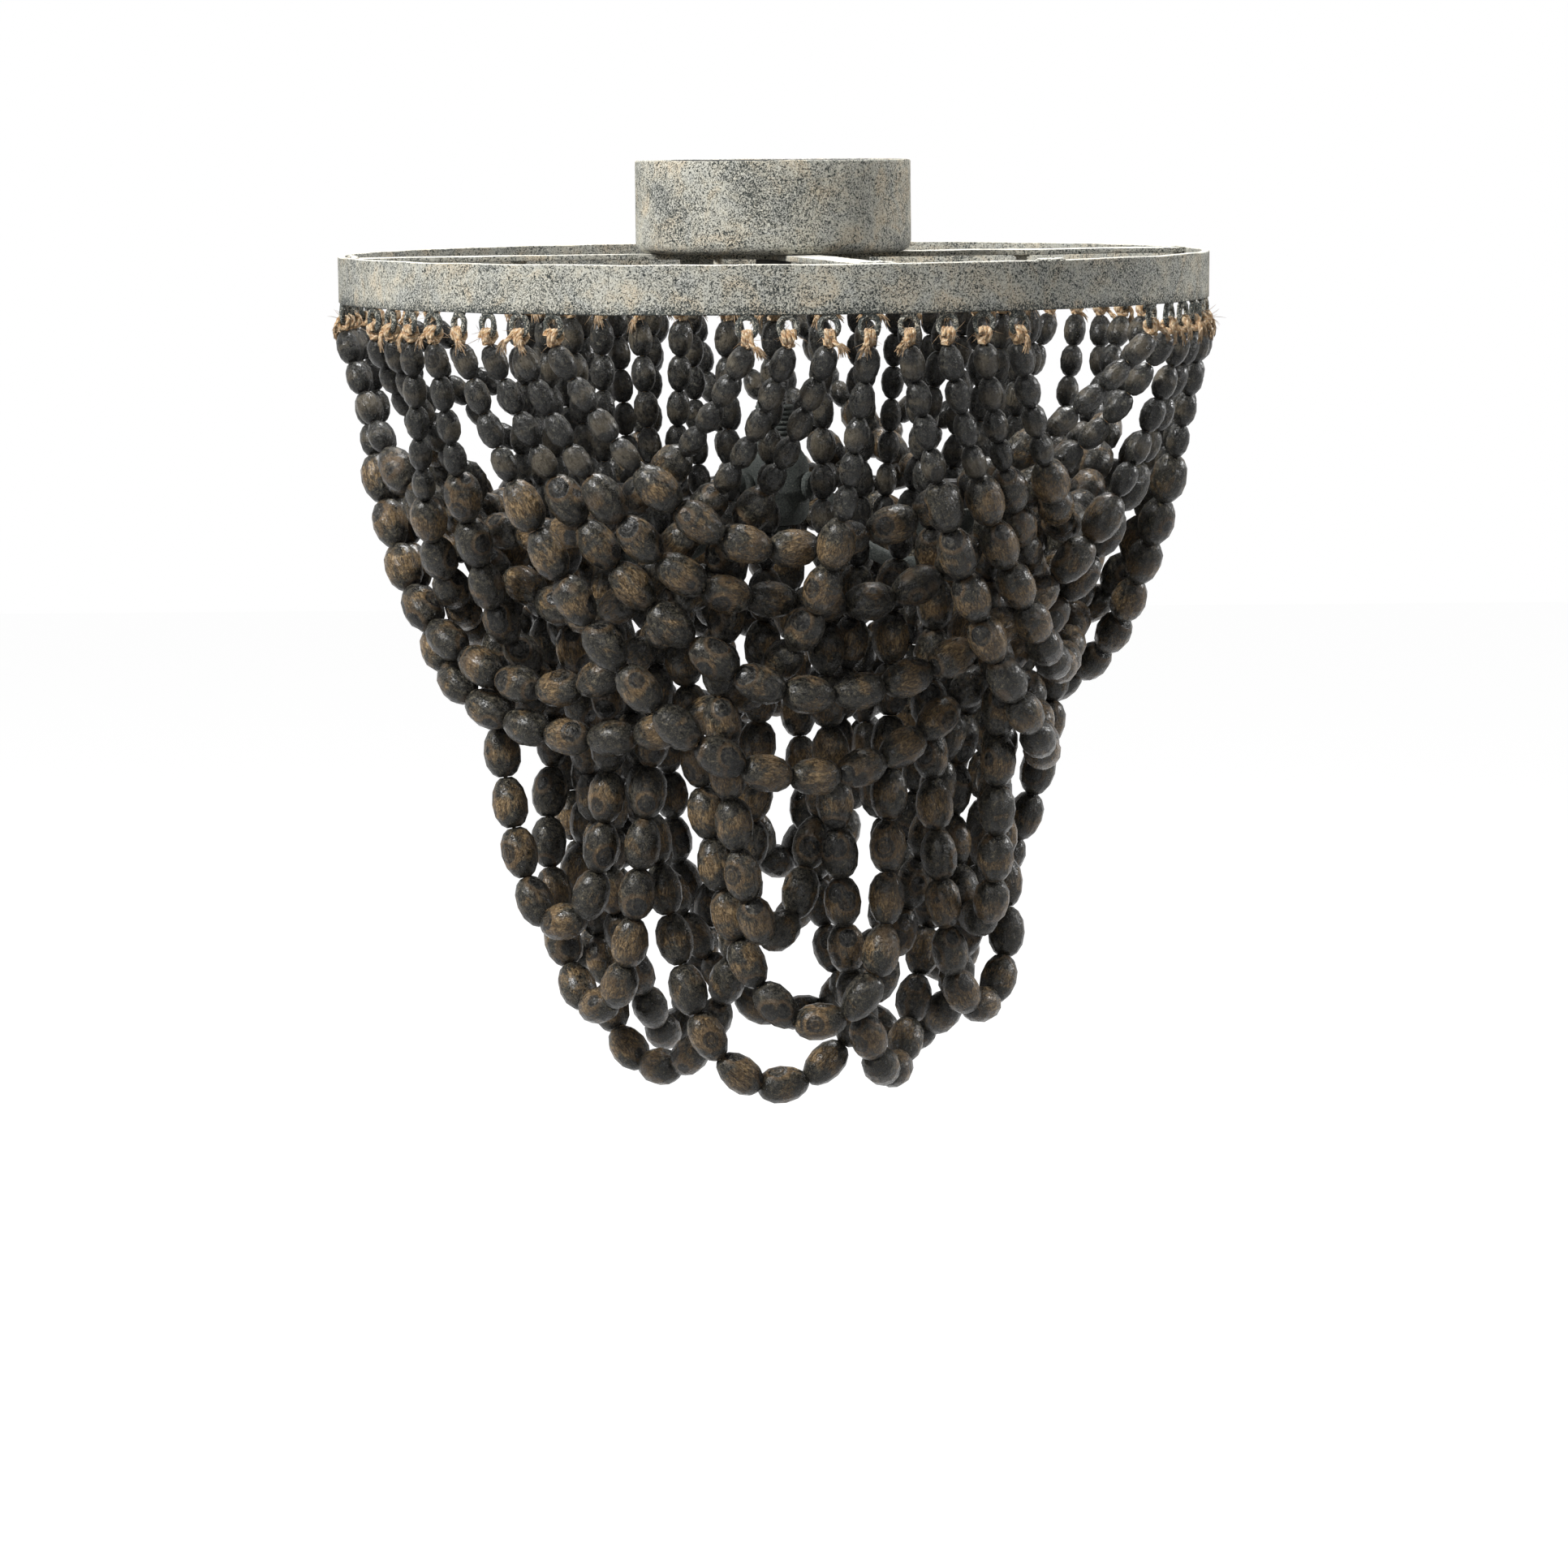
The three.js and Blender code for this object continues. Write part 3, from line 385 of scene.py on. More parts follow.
eyelet_azimuths = [
    FIRST_EYELET + group * 360 / EYELET_GROUPS + index * EYELET_STEP
    for group in range(EYELET_GROUPS)
    for index in range(EYELETS_PER_GROUP)
]
for number, azimuth in enumerate(eyelet_azimuths):
    wire = turned(arc(EYELET_RADIUS - EYELET_WIRE, 0, EYELET_WIRE, 0, 315, 7), 18)
    dent(wire, 0.4, 1.7, number)
    stretch = Matrix.Diagonal((1, 1, EYELET_HEIGHT / 2 / EYELET_RADIUS, 1))
    upright = stretch @ Matrix.Rotation(math.radians(90), 4, "X")
    lean = Matrix.Rotation(math.radians(hand.uniform(-9, 9)), 4, "Z")
    middle = Matrix.Translation((0, -(RING_RADIUS - BAND_THICKNESS / 2) * MM, EYELET_CENTRE * MM))
    put(band, wire, azimuth_turn(azimuth) @ middle @ lean @ upright)
    wire.free()
    lump = weld_lump(3.0, 1.5, 1.4, number + 60)
    seat = Matrix.Translation(
        (hand.uniform(-0.8, 0.8) * MM, -(RING_RADIUS - BAND_THICKNESS / 2) * MM, (BAND_BOTTOM - 0.3) * MM)
    )
    put(band, lump, azimuth_turn(azimuth) @ seat)
    lump.free()

# Cross frame: four flat straps that are welded to a round centre plate and to the band's top edge, and a
# ring of round rod that hangs below them on four posts and carries the inner tier. The weld metal stands
# proud at each end of a strap, and the band's own butt weld shows beside one of them.
STRAP_WIDTH = 15
STRAP_THICKNESS = 2.4
STRAP_AZIMUTHS = [13, 103, 193, 283]
PLATE_RADIUS = 27
INNER_RING_RADIUS = 113
ROD_RADIUS = 2.5
ROD_HEIGHT = -60.3
STRAP_MIDDLE = BAND_TOP - STRAP_THICKNESS / 2

cross = bmesh.new()
plate = bmesh.new()
bmesh.ops.create_cone(
    plate, cap_ends=True, segments=64, radius1=PLATE_RADIUS * MM, radius2=PLATE_RADIUS * MM,
    depth=STRAP_THICKNESS * MM,
)
soften(plate, 0.35)
put(cross, plate, Matrix.Translation((0, 0, STRAP_MIDDLE * MM)))
ring = turned(arc(INNER_RING_RADIUS, ROD_HEIGHT, ROD_RADIUS, 0, 330, 11), 160)
dent(ring, 0.3, 20, 9)
put(cross, ring)
strap_reach = RING_RADIUS - BAND_THICKNESS - 0.3
for number, azimuth in enumerate(STRAP_AZIMUTHS):
    strap = bmesh.new()
    bmesh.ops.create_cube(strap, size=1)
    bmesh.ops.transform(
        strap, verts=strap.verts,
        matrix=Matrix.Diagonal((STRAP_WIDTH * MM, strap_reach * MM, STRAP_THICKNESS * MM, 1)),
    )
    long_edges = [e for e in strap.edges if abs(e.verts[0].co.y - e.verts[1].co.y) > 0.1 * strap_reach * MM]
    bmesh.ops.subdivide_edges(strap, edges=long_edges, cuts=14, use_grid_fill=True)
    soften(strap, 0.4)
    bmesh.ops.translate(strap, verts=strap.verts, vec=(0, -strap_reach / 2 * MM, STRAP_MIDDLE * MM))
    dent(strap, 0.35, 30, number + 20)
    turn = azimuth_turn(azimuth)
    put(cross, strap, turn)
    post = bmesh.new()
    post_length = BAND_TOP - STRAP_THICKNESS - ROD_HEIGHT
    bmesh.ops.create_cone(
        post, cap_ends=True, segments=16, radius1=ROD_RADIUS * MM, radius2=ROD_RADIUS * MM,
        depth=post_length * MM,
    )
    post_middle = Vector((0, -INNER_RING_RADIUS, ROD_HEIGHT + post_length / 2)) * MM
    put(cross, post, turn @ Matrix.Translation(post_middle))
    for x, y, z, width, length, height in (
        (-4.5, strap_reach - 1.2, BAND_TOP, 3.4, 2.0, 1.0),
        (0.5, strap_reach - 0.8, BAND_TOP, 3.6, 2.2, 1.2),
        (5, strap_reach - 1.3, BAND_TOP, 3.0, 2.0, 0.9),
        (0, INNER_RING_RADIUS, ROD_HEIGHT + 2.6, 3.6, 3.4, 1.4),
        (0, INNER_RING_RADIUS, BAND_TOP - STRAP_THICKNESS, 3.8, 3.8, 1.3),
    ):
        lump = weld_lump(width, length, height, number * 7 + x)
        put(cross, lump, turn @ Matrix.Translation((x * MM, -y * MM, z * MM)))
        lump.free()
# The cross's upward faces get the painted highlight.
paint_top_highlight(cross)
finished("welded_cross", cross, "fixture", paint, ["cross_frame"])
for step in range(5):
    lump = weld_lump(2.0, 1.8, 1.1, step + 200)
    seat = Matrix.Translation((0, -(RING_RADIUS - BAND_THICKNESS / 2) * MM, (BAND_TOP - 0.2) * MM))
    put(band, lump, azimuth_turn(35 + step * 0.9) @ seat)
    lump.free()
# The band's upward faces get the painted highlight.
paint_top_highlight(band)
finished("rolled_band", band, "fixture", paint, ["outer_band"])

# Stem, hub, finial and lamp arms: a threaded tube runs down from its hexagonal head in the canopy, through
# the centre plate and a lock nut, into a turned hub with a ridged neck. A finial closes the hub from below,
# and three bent tubes lead out of it to the cups of the lamps.
STEM_RADIUS = 5.0
STEM_ROOT = 4.5
STEM_PITCH = 1.4
STEM_HEAD_RADIUS = 9
STEM_HEAD_HEIGHT = 5
HUB_NECK = 7.5
HUB_RIDGE = 8.6
HUB_RIDGE_PITCH = 4.4
HUB_RIDGES = 3
HUB_BODY = 15
HUB_BORE = 5.4
HUB_BORE_DEPTH = 6
FINIAL_RADIUS = 6
ARM_RADIUS = 3.5
ARM_REACH = 82
ARM_AZIMUTHS = [-55, 65, 185]
ARM_LOWEST = -175
SOCKET_HEIGHT = -142.2
COLLAR_RADIUS = 6.0
COLLAR_PLACE = 16.6
CUP_FOOT = 7
CUP_BOTTOM = -166
CUP_HEIGHT = 16
CUP_WALL = 1.4


def swept(path, radii, sides):
    """A new closed tube along a path of places in metres, with a radius in metres at each of them."""
    shape = bmesh.new()
    direction = (path[1] - path[0]).normalized()
    stand = Matrix.Translation(path[0]) @ direction.to_track_quat("Z", "Y").to_matrix().to_4x4()
    made = bmesh.ops.create_circle(shape, cap_ends=False, radius=radii[0], segments=sides, matrix=stand)
    loop = list({e for v in made["verts"] for e in v.link_edges})
    for i in range(1, len(path)):
        ahead = (path[min(i + 1, len(path) - 1)] - path[i - 1]).normalized()
        turn = direction.rotation_difference(ahead).to_matrix().to_4x4()
        move = (
            Matrix.Translation(path[i]) @ turn @ Matrix.Scale(radii[i] / radii[i - 1], 4)
            @ Matrix.Translation(-path[i - 1])
        )
        made = bmesh.ops.extrude_edge_only(shape, edges=loop)["geom"]
        loop = [g for g in made if isinstance(g, bmesh.types.BMEdge)]
        ends = [g for g in made if isinstance(g, bmesh.types.BMVert)]
        bmesh.ops.transform(shape, matrix=move, verts=ends)
        direction = ahead
    bmesh.ops.holes_fill(shape, edges=[e for e in shape.edges if e.is_boundary], sides=sides)
    bmesh.ops.recalc_face_normals(shape, faces=shape.faces)
    return shape


def smooth_path(points, steps):
    """Places on a smooth curve through the points, with steps of them for each stretch."""
    padded = [2 * points[0] - points[1], *points, 2 * points[-1] - points[-2]]
    path = []
    for i in range(len(points) - 1):
        a, b, c, d = padded[i:i + 4]
        for k in range(steps):
            t = k / steps
            bend = (2 * a - 5 * b + 4 * c - d) * t**2 + (3 * b - a - 3 * c + d) * t**3
            path.append(0.5 * (2 * b + (c - a) * t + bend))
    return [*path, points[-1].copy()]


stem_low, stem_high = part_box("stem")
stem_top = stem_high.z / MM
stem = turned(threaded(stem_low.z / MM, stem_top - 1, STEM_RADIUS, STEM_ROOT, STEM_PITCH), 28)
head = bmesh.new()
bmesh.ops.create_cone(
    head, cap_ends=True, segments=6, radius1=STEM_HEAD_RADIUS * MM, radius2=STEM_HEAD_RADIUS * MM,
    depth=STEM_HEAD_HEIGHT * MM,
)
soften(head, 0.5)
put(stem, head, Matrix.Translation((0, 0, (stem_top - STEM_HEAD_HEIGHT / 2) * MM)))
finished("threaded_stem", stem, "fixture", steel, ["stem"])
nut_low, nut_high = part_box("stem_nut")
plain_nut = bmesh.new()
bmesh.ops.create_cone(
    plain_nut, cap_ends=True, segments=6, radius1=STEM_HEAD_RADIUS * MM, radius2=STEM_HEAD_RADIUS * MM,
    depth=nut_high.z - nut_low.z,
)
soften(plain_nut, 0.6)
bmesh.ops.translate(plain_nut, verts=plain_nut.verts, vec=(0, 0, (nut_low.z + nut_high.z) / 2))
finished("stem_lock_nut", plain_nut, "fixture", steel, ["stem_nut"])

hub_low, hub_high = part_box("lamp_hub")
hub_top = hub_high.z / MM
neck_bottom = hub_top - HUB_RIDGES * HUB_RIDGE_PITCH
neck = []
for i in range(HUB_RIDGES * 2):
    base = neck_bottom + i * HUB_RIDGE_PITCH / 2
    neck += [(HUB_NECK, base)] + arc(HUB_NECK, base + HUB_RIDGE_PITCH / 4, HUB_RIDGE - HUB_NECK, -60, 60, 4)
hub = turned(
    [(0, hub_low.z / MM), (FINIAL_RADIUS, hub_low.z / MM), (11, -159.6), (13.4, -157.6), (14.6, -155)]
    + [(HUB_BODY, -152), (HUB_BODY, -147), (15.6, -146), (15.6, -144), (HUB_BODY, -143), (HUB_BODY, -134)]
    + [(14.2, -131), (12.6, -128.4), (11.2, -126.4), (10, -124), (9, -121.6)] + neck
    + [(HUB_NECK, hub_top), (HUB_BORE, hub_top), (HUB_BORE, hub_top - HUB_BORE_DEPTH)]
    + [(0, hub_top - HUB_BORE_DEPTH)],
    48,
)
finished("turned_hub", hub, "fixture", paint, ["lamp_hub"])
finial_low, finial_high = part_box("hub_finial")
finial_top = hub_low.z / MM - 0.3
finial_length = finial_top - finial_low.z / MM
finial = turned(
    [(0, finial_low.z / MM)]
    + [
        (FINIAL_RADIUS * width, finial_top - finial_length * depth)
        for width, depth in (
            (0.25, 0.985), (0.5, 0.94), (0.78, 0.84), (0.93, 0.7), (0.95, 0.55), (0.82, 0.4), (0.6, 0.29),
            (0.5, 0.22), (0.6, 0.16), (0.95, 0.12), (1.0, 0.06), (1.0, 0.0),
        )
    ]
    + [(2.5, finial_top), (2.5, finial_high.z / MM), (0, finial_high.z / MM)],
    32,
)
finished("turned_finial", finial, "fixture", paint, ["hub_finial"])

for number, azimuth in enumerate(ARM_AZIMUTHS, 1):
    bottom = CUP_BOTTOM
    path = smooth_path(
        [
            Vector((0, -y * MM, z * MM))
            for y, z in (
                (9, SOCKET_HEIGHT), (15, SOCKET_HEIGHT), (22, SOCKET_HEIGHT), (32.8, -161.9),
                (59, ARM_LOWEST), (76.3, ARM_LOWEST + 1.75), (ARM_REACH, bottom - 3.5),
                (ARM_REACH, bottom + 0.6),
            )
        ],
        5,
    )
    arm = swept(path, [ARM_RADIUS * MM] * len(path), 16)
    collar = turned(
        [(ARM_RADIUS, -1.5), (5.6, -1.5), (COLLAR_RADIUS, -0.6), (COLLAR_RADIUS, 0.6), (5.2, 1.4)]
        + [(ARM_RADIUS, 1.6)],
        24,
    )
    lie = Matrix.Rotation(math.radians(90), 4, "X")
    put(arm, collar, Matrix.Translation((0, -COLLAR_PLACE * MM, SOCKET_HEIGHT * MM)) @ lie)
    top = bottom + CUP_HEIGHT
    cup = turned(
        [(0, bottom), (CUP_FOOT - 1, bottom), (CUP_FOOT, bottom + 0.5), (10, bottom + 1.8)]
        + [(12.6, bottom + 4), (13.9, bottom + 7.4), (14.6, bottom + 11), (14.8, top - 1)]
        + arc(14.2, top - 0.7, 0.8, -20, 200, 6)
        + [(13.2, bottom + 11), (12.4, bottom + 7.8), (11.2, bottom + 5.2), (9, bottom + 3)]
        + [(CUP_FOOT, bottom + 1.6), (0, bottom + CUP_WALL)],
        48,
    )
    dent(cup, 0.15, 8, number)
    put(arm, cup, Matrix.Translation((0, -ARM_REACH * MM, 0)))
    arm.transform(azimuth_turn(azimuth))
    finished(f"bent_arm_{number}", arm, "fixture", paint, [f"lamp_arm_{number}"])

# Lampholders: moulded black phenolic bodies for candelabra bulbs, with a ribbed skirt, a plain collar and a
# brass screw shell pressed into the mouth, which has its centre contact at the bottom.
HOLDER_RADIUS = 10
HOLDER_SOCKET = 6.4
SOCKET_DEPTH = 20
RIB_COUNT = 24
RIB_VALLEY_SHARE = 0.955
SHELL_TURNS = 7
SHELL_PITCH = 2.2


def black_phenolic():
    material, tree, surface = new_material("black_phenolic")
    place = tree.nodes.new("ShaderNodeTexCoord").outputs["Object"]
    dust_and_top_highlight = clouds(tree, place, 260, 5, 0.65)
    shade = ramp(
        tree, dust_and_top_highlight, (0.4, colour(34, 33, 32)), (0.62, colour(50, 48, 46)), (0.8, colour(92, 88, 82))
    )
    tree.links.new(shade, surface.inputs["Base Color"])
    tree.links.new(ramp(tree, dust_and_top_highlight, (0.35, 0.42), (0.75, 0.75)), surface.inputs["Roughness"])
    bump(tree, surface, dust_and_top_highlight, 0.12, 0.0003)
    return material


phenolic = black_phenolic()
for number, azimuth in enumerate(ARM_AZIMUTHS, 1):
    low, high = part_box(f"lampholder_{number}")
    bottom, top = low.z / MM, high.z / MM
    holder = turned(
        [(0, bottom), (CUP_FOOT, bottom), (8.6, bottom + 2.4), (9.6, bottom + 5.2), (9.6, bottom + 13)]
        + [(HOLDER_RADIUS, bottom + 13.6), (HOLDER_RADIUS, top - 4), (9.5, top - 3.6), (9.5, top - 1)]
        + [(9.0, top - 0.2), (8.4, top), (HOLDER_SOCKET + 0.4, top), (HOLDER_SOCKET, top - 0.6)]
        + [(HOLDER_SOCKET, top - SOCKET_DEPTH), (0, top - SOCKET_DEPTH)],
        RIB_COUNT * 2,
    )
    for vert in holder.verts:
        if bottom + 4 < vert.co.z / MM < bottom + 13.1:
            step = round(math.atan2(vert.co.y, vert.co.x) / math.tau * RIB_COUNT * 2)
            if step % 2:
                vert.co.xy *= RIB_VALLEY_SHARE
    holder.transform(azimuth_turn(azimuth) @ Matrix.Translation((0, -ARM_REACH * MM, 0)))
    finished(
        f"ribbed_holder_{number}", holder, "fixture", phenolic, [f"lampholder_{number}"]
    )
    shell_outline = [(HOLDER_SOCKET - 0.1, top - 19), (HOLDER_SOCKET - 0.1, top - 1.2), (5.9, top - 1.2)]
    for i in range(SHELL_TURNS):
        shell_outline += [(5.9, top - (i + 1) * SHELL_PITCH), (5.4, top - (i + 1.5) * SHELL_PITCH)]
    shell = turned(shell_outline + [(5.6, top - 18.4), (5.6, top - 19)], 28)
    contact = turned(
        [(0, top - 19.9), (2.6, top - 19.9), (2.6, top - 19), (1.6, top - 18.1), (0, top - 17.8)], 16
    )
    put(shell, contact)
    shell.transform(azimuth_turn(azimuth) @ Matrix.Translation((0, -ARM_REACH * MM, 0)))
    finished(f"screw_shell_{number}", shell, "fixture", brass)

# Bead strands: turned wooden beads on jute twine, charcoal black and small next to the knots, larger and
# dark brown below them. Their stain is rubbed through to warm brown, over knots, cracks and grain. Each
# bead lies where its solid has a swelling between two narrow necks, and no two beads are quite alike.
BEAD_SIDES = 12
BEAD_OUTLINE = [(-1.0, 0.36), (-0.86, 0.62), (-0.5, 0.9), (0.0, 1.0), (0.5, 0.9), (0.86, 0.62), (1.0, 0.36)]
SMALL_RADIUS = 5.4
LARGE_RADIUS = 8.4
TWINE_RADIUS = 1.0
chance = random.Random(4)


def bead_wood():
    material, tree, surface = new_material("bead_wood")
    vector = add(tree, "Attribute", {}, attribute_name="bead_grain").node.outputs["Vector"]
    tone = add(tree, "Attribute", {}, attribute_name="bead_tone").node.outputs["Fac"]
    small = add(tree, "Attribute", {}, attribute_name="bead_small").node.outputs["Fac"]
    waist = add(tree, "Attribute", {}, attribute_name="bead_waist").node.outputs["Fac"]
    along = add(tree, "Mapping", {"Vector": vector, "Scale": (1, 1, 0.4)})
    rubs = clouds(tree, vector, 0.1, 4, 0.62, 0.9)
    mottle = clouds(tree, vector, 0.5, 7, 0.72, 0.5)
    grain = clouds(tree, along, 0.9, 5, 0.68, 1.2)
    swell = clouds(tree, vector, 0.42, 2, 0.5)
    pores = clouds(tree, vector, 3.4, 3, 0.7)

    # Branch knots: round black eyes with a paler ring, on about every second bead.
    eyes = tree.nodes.new("ShaderNodeTexVoronoi")
    tree.links.new(vector, eyes.inputs["Vector"])
    eyes.inputs["Scale"].default_value = 0.062
    ripple = maths(tree, "MULTIPLY_ADD", mottle, 0.1, eyes.outputs["Distance"])
    eye = ramp(
        tree, ripple, (0.13, 0.75), (0.18, 1.0), (0.21, 0.3), (0.24, 1.0), (0.31, 0.95), (0.34, 0.0)
    )
    halo = ramp(tree, ripple, (0.33, 0.0), (0.36, 0.45), (0.41, 0.3), (0.47, 0.0))
    halo = mixed(tree, small, halo, colour(0, 0, 0))
    burnt = ramp(
        tree, mottle, (0.42, colour(9, 9, 9)), (0.52, colour(26, 26, 25)), (0.62, colour(74, 70, 62))
    )

    # Cracks run with the grain, and a fine crust of stain wrinkles across it.
    lengthwise = add(tree, "Mapping", {"Vector": vector, "Scale": (1, 1, 0.16)})
    split_grain = clouds(tree, lengthwise, 0.3, 3, 0.5, 1.6)
    crack = ramp(tree, split_grain, (0.474, 0.0), (0.483, 1.0), (0.487, 1.0), (0.496, 0.0))
    wrinkles = clouds(tree, vector, 0.62, 4, 0.7, 2.4)
    crust = ramp(tree, wrinkles, (0.475, 0.0), (0.5, 1.0), (0.525, 0.0))
    crust = mixed(tree, crust, colour(0, 0, 0), ramp(tree, rubs, (0.44, 0.0), (0.54, 1.0)))

    black = ramp(
        tree, mottle,
        (0.4, colour(9, 10, 9)), (0.48, colour(25, 25, 22)), (0.57, colour(54, 51, 43)),
        (0.68, colour(124, 115, 96)),
    )
    charcoal = ramp(
        tree, mottle,
        (0.4, colour(9, 10, 11)), (0.49, colour(23, 25, 26)), (0.59, colour(45, 46, 44)),
        (0.69, colour(120, 117, 105)),
    )
    rubbed = maths(tree, "ADD", rubs, maths(tree, "MULTIPLY_ADD", tone, 0.26, -0.13))
    rubbed = maths(tree, "ADD", rubbed, maths(tree, "MULTIPLY_ADD", grain, 0.2, -0.1))
    rubbed = maths(tree, "ADD", rubbed, maths(tree, "MULTIPLY_ADD", waist, 0.3, -0.2))
    brown = ramp(
        tree, grain, (0.38, colour(54, 42, 27)), (0.5, colour(101, 80, 52)), (0.61, colour(168, 142, 104))
    )
    large_share = mixed(tree, small, ramp(tree, rubbed, (0.5, 0.0), (0.66, 0.88)), colour(0, 0, 0))
    small_share = mixed(tree, small, colour(0, 0, 0), ramp(tree, rubbed, (0.5, 0.0), (0.68, 0.45)))
    final = mixed(tree, small, black, charcoal)
    final = mixed(tree, large_share, final, brown)
    final = mixed(tree, small_share, final, colour(120, 110, 92))
    final = mixed(tree, halo, final, colour(116, 92, 64))
    final = mixed(tree, ramp(tree, pores, (0.56, 0.0), (0.66, 0.5)), final, colour(158, 150, 132))
    final = mixed(tree, ramp(tree, pores, (0.36, 0.6), (0.45, 0.0)), final, colour(14, 14, 14))
    final = mixed(tree, maths(tree, "MULTIPLY", eye, 0.88), final, burnt)
    final = mixed(tree, maths(tree, "MULTIPLY", crust, 0.5), final, colour(14, 13, 13))
    final = mixed(tree, maths(tree, "MULTIPLY", crack, 0.9), final, colour(8, 8, 8))
    tree.links.new(final, surface.inputs["Base Color"])
    tree.links.new(ramp(tree, mottle, (0.4, 0.22), (0.6, 0.38)), surface.inputs["Roughness"])
    surface.inputs["Specular IOR Level"].default_value = 0.25
    height = maths(tree, "MULTIPLY_ADD", pores, 0.07, swell)
    height = maths(tree, "MULTIPLY_ADD", crack, -0.6, height)
    height = maths(tree, "MULTIPLY_ADD", crust, -0.25, height)
    bump(tree, surface, maths(tree, "MULTIPLY_ADD", eye, -0.35, height), 0.8, 0.0006)
    return material


def strand_rings(node):
    """The rings of corners that a strand's solid is made of, from one knot to the other."""
    held = bmesh.new()
    held.from_mesh(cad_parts[node].data)
    bmesh.ops.remove_doubles(held, verts=held.verts, dist=2e-6)
    start = max(held.verts, key=lambda v: (round(v.co.z, 5), v.co.x, v.co.y))
    ring = [v for v in held.verts if (v.co - start.co).length < 7 * MM and v.co.z > start.co.z - 0.05 * MM]
    rings, seen = [], set()
    while ring:
        seen.update(ring)
        rings.append((sum((v.co for v in ring), Vector()) / len(ring), len(ring)))
        ring = list({e.other_vert(v) for v in ring for e in v.link_edges} - seen)
        ring.sort(key=lambda v: v.index)
    held.free()
    return rings


def bead_shape():
    path = [Vector((0, 0, height)) for height, _ in BEAD_OUTLINE]
    shape = swept(path, [width for _, width in BEAD_OUTLINE], BEAD_SIDES)
    held = bpy.data.meshes.new("bead")
    shape.to_mesh(held)
    shape.free()
    return held


one_bead = bead_shape()
wood = bead_wood()
strands = sorted(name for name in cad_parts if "_strand_" in name)
strand_paths = {}
for name in strands:
    rings = strand_rings(name)
    places = [centre for centre, _ in rings]
    strand_paths[name] = places
    beads = bmesh.new()
    grain_layer = beads.verts.layers.float_vector.new("bead_grain")
    tone_layer = beads.verts.layers.float.new("bead_tone")
    small_layer = beads.verts.layers.float.new("bead_small")
    waist_layer = beads.verts.layers.float.new("bead_waist")
    for i in range(1, len(rings) - 2, 2):
        is_small = rings[i + 1][1] == 3
        axis = places[i + 2] - places[i]
        half = axis.length / 2 * 0.985
        radius = (SMALL_RADIUS if is_small else LARGE_RADIUS) * MM
        wide = radius * chance.uniform(0.96, 1.0)
        deep = radius * chance.uniform(0.93, 1.0)
        offset = Vector([chance.uniform(0, 900) for _ in range(3)])
        tone = chance.random()
        egg = chance.uniform(-0.1, 0.1)
        first = len(beads.verts)
        beads.from_mesh(one_bead)
        beads.verts.ensure_lookup_table()
        new_verts = beads.verts[first:]
        for vert in new_verts:
            vert.co.xy *= 1 + egg * vert.co.z
            local = Vector((vert.co.x * wide, vert.co.y * deep, vert.co.z * half))
            vert[grain_layer] = local / MM + offset
            vert[tone_layer] = tone
            vert[small_layer] = float(is_small)
            vert[waist_layer] = 1 - abs(vert.co.z)
        place = (
            Matrix.Translation((places[i] + places[i + 2]) / 2)
            @ axis.to_track_quat("Z", "Y").to_matrix().to_4x4()
            @ Matrix.Rotation(chance.uniform(0, math.tau), 4, "Z")
            @ Matrix.Diagonal((wide, deep, half, 1))
        )
        bmesh.ops.transform(beads, matrix=place, verts=new_verts)
    finished(name.replace("_strand_", "_beads_"), beads, "fixture", wood, [name])

# Twine: soft jute that runs through each strand. At both ends it is wound round its eyelet, or round the
# inner ring, in a thick bushy knot that sits on the first bead. Most knots have a cut tail that hangs down
# before that bead and has frayed into a bundle of fibres, and long hairs stand off the knots.
KNOT_TWINE = 1.2
KNOT_STEPS = 30
FIBRES_PER_TAIL = 14
HAIRS_PER_KNOT = 12


def jute():
    material, tree, surface = new_material("jute", roughness=0.9)
    lay = add(tree, "Attribute", {}, attribute_name="twine_lay").node.outputs["Vector"]
    split = tree.nodes.new("ShaderNodeSeparateXYZ")
    tree.links.new(lay, split.inputs[0])
    around = maths(tree, "ARCTAN2", split.outputs[1], split.outputs[0])
    phase = maths(tree, "MULTIPLY_ADD", split.outputs[2], 2.0, maths(tree, "MULTIPLY", around, 2.0))
    plies = maths(tree, "MULTIPLY_ADD", maths(tree, "SINE", phase), 0.5, 0.5)
    fibres = clouds(tree, add(tree, "Mapping", {"Vector": lay, "Scale": (1, 1, 0.3)}), 3.2, 4, 0.7, 0.6)
    place = tree.nodes.new("ShaderNodeTexCoord").outputs["Object"]
    tufts = clouds(tree, place, 520, 3, 0.6)
    shade = ramp(
        tree, fibres,
        (0.36, colour(192, 144, 92)), (0.5, colour(236, 206, 160)), (0.62, colour(255, 244, 224)),
    )
    # In the grooves between the plies the twine is painted a darker orange-brown: painted shade in the
    # hollows of the twist.
    shade = mixed(tree, ramp(tree, plies, (0.0, 0.7), (0.5, 0.0)), shade, colour(150, 98, 52))
    shade = mixed(tree, ramp(tree, tufts, (0.5, 0.0), (0.66, 0.45)), shade, colour(200, 146, 92))
    tree.links.new(shade, surface.inputs["Base Color"])
    surface.inputs["Specular IOR Level"].default_value = 0.1
    surface.inputs["Sheen Weight"].default_value = 0.2
    bump(tree, surface, maths(tree, "MULTIPLY_ADD", plies, 0.7, fibres), 1.0, 0.0009)
    return material


def twine_along(path, radii, sides):
    """A length of twine that remembers how far along and around it each place lies."""
    shape = swept(path, radii, sides)
    layer = shape.verts.layers.float_vector.new("twine_lay")
    gone = 0.0
    shape.verts.ensure_lookup_table()
    for i in range(len(path)):
        if i:
            gone += (path[i] - path[i - 1]).length / MM
        for k in range(sides):
            angle = math.tau * k / sides
            shape.verts[i * sides + k][layer] = (math.cos(angle), math.sin(angle), gone)
    return shape


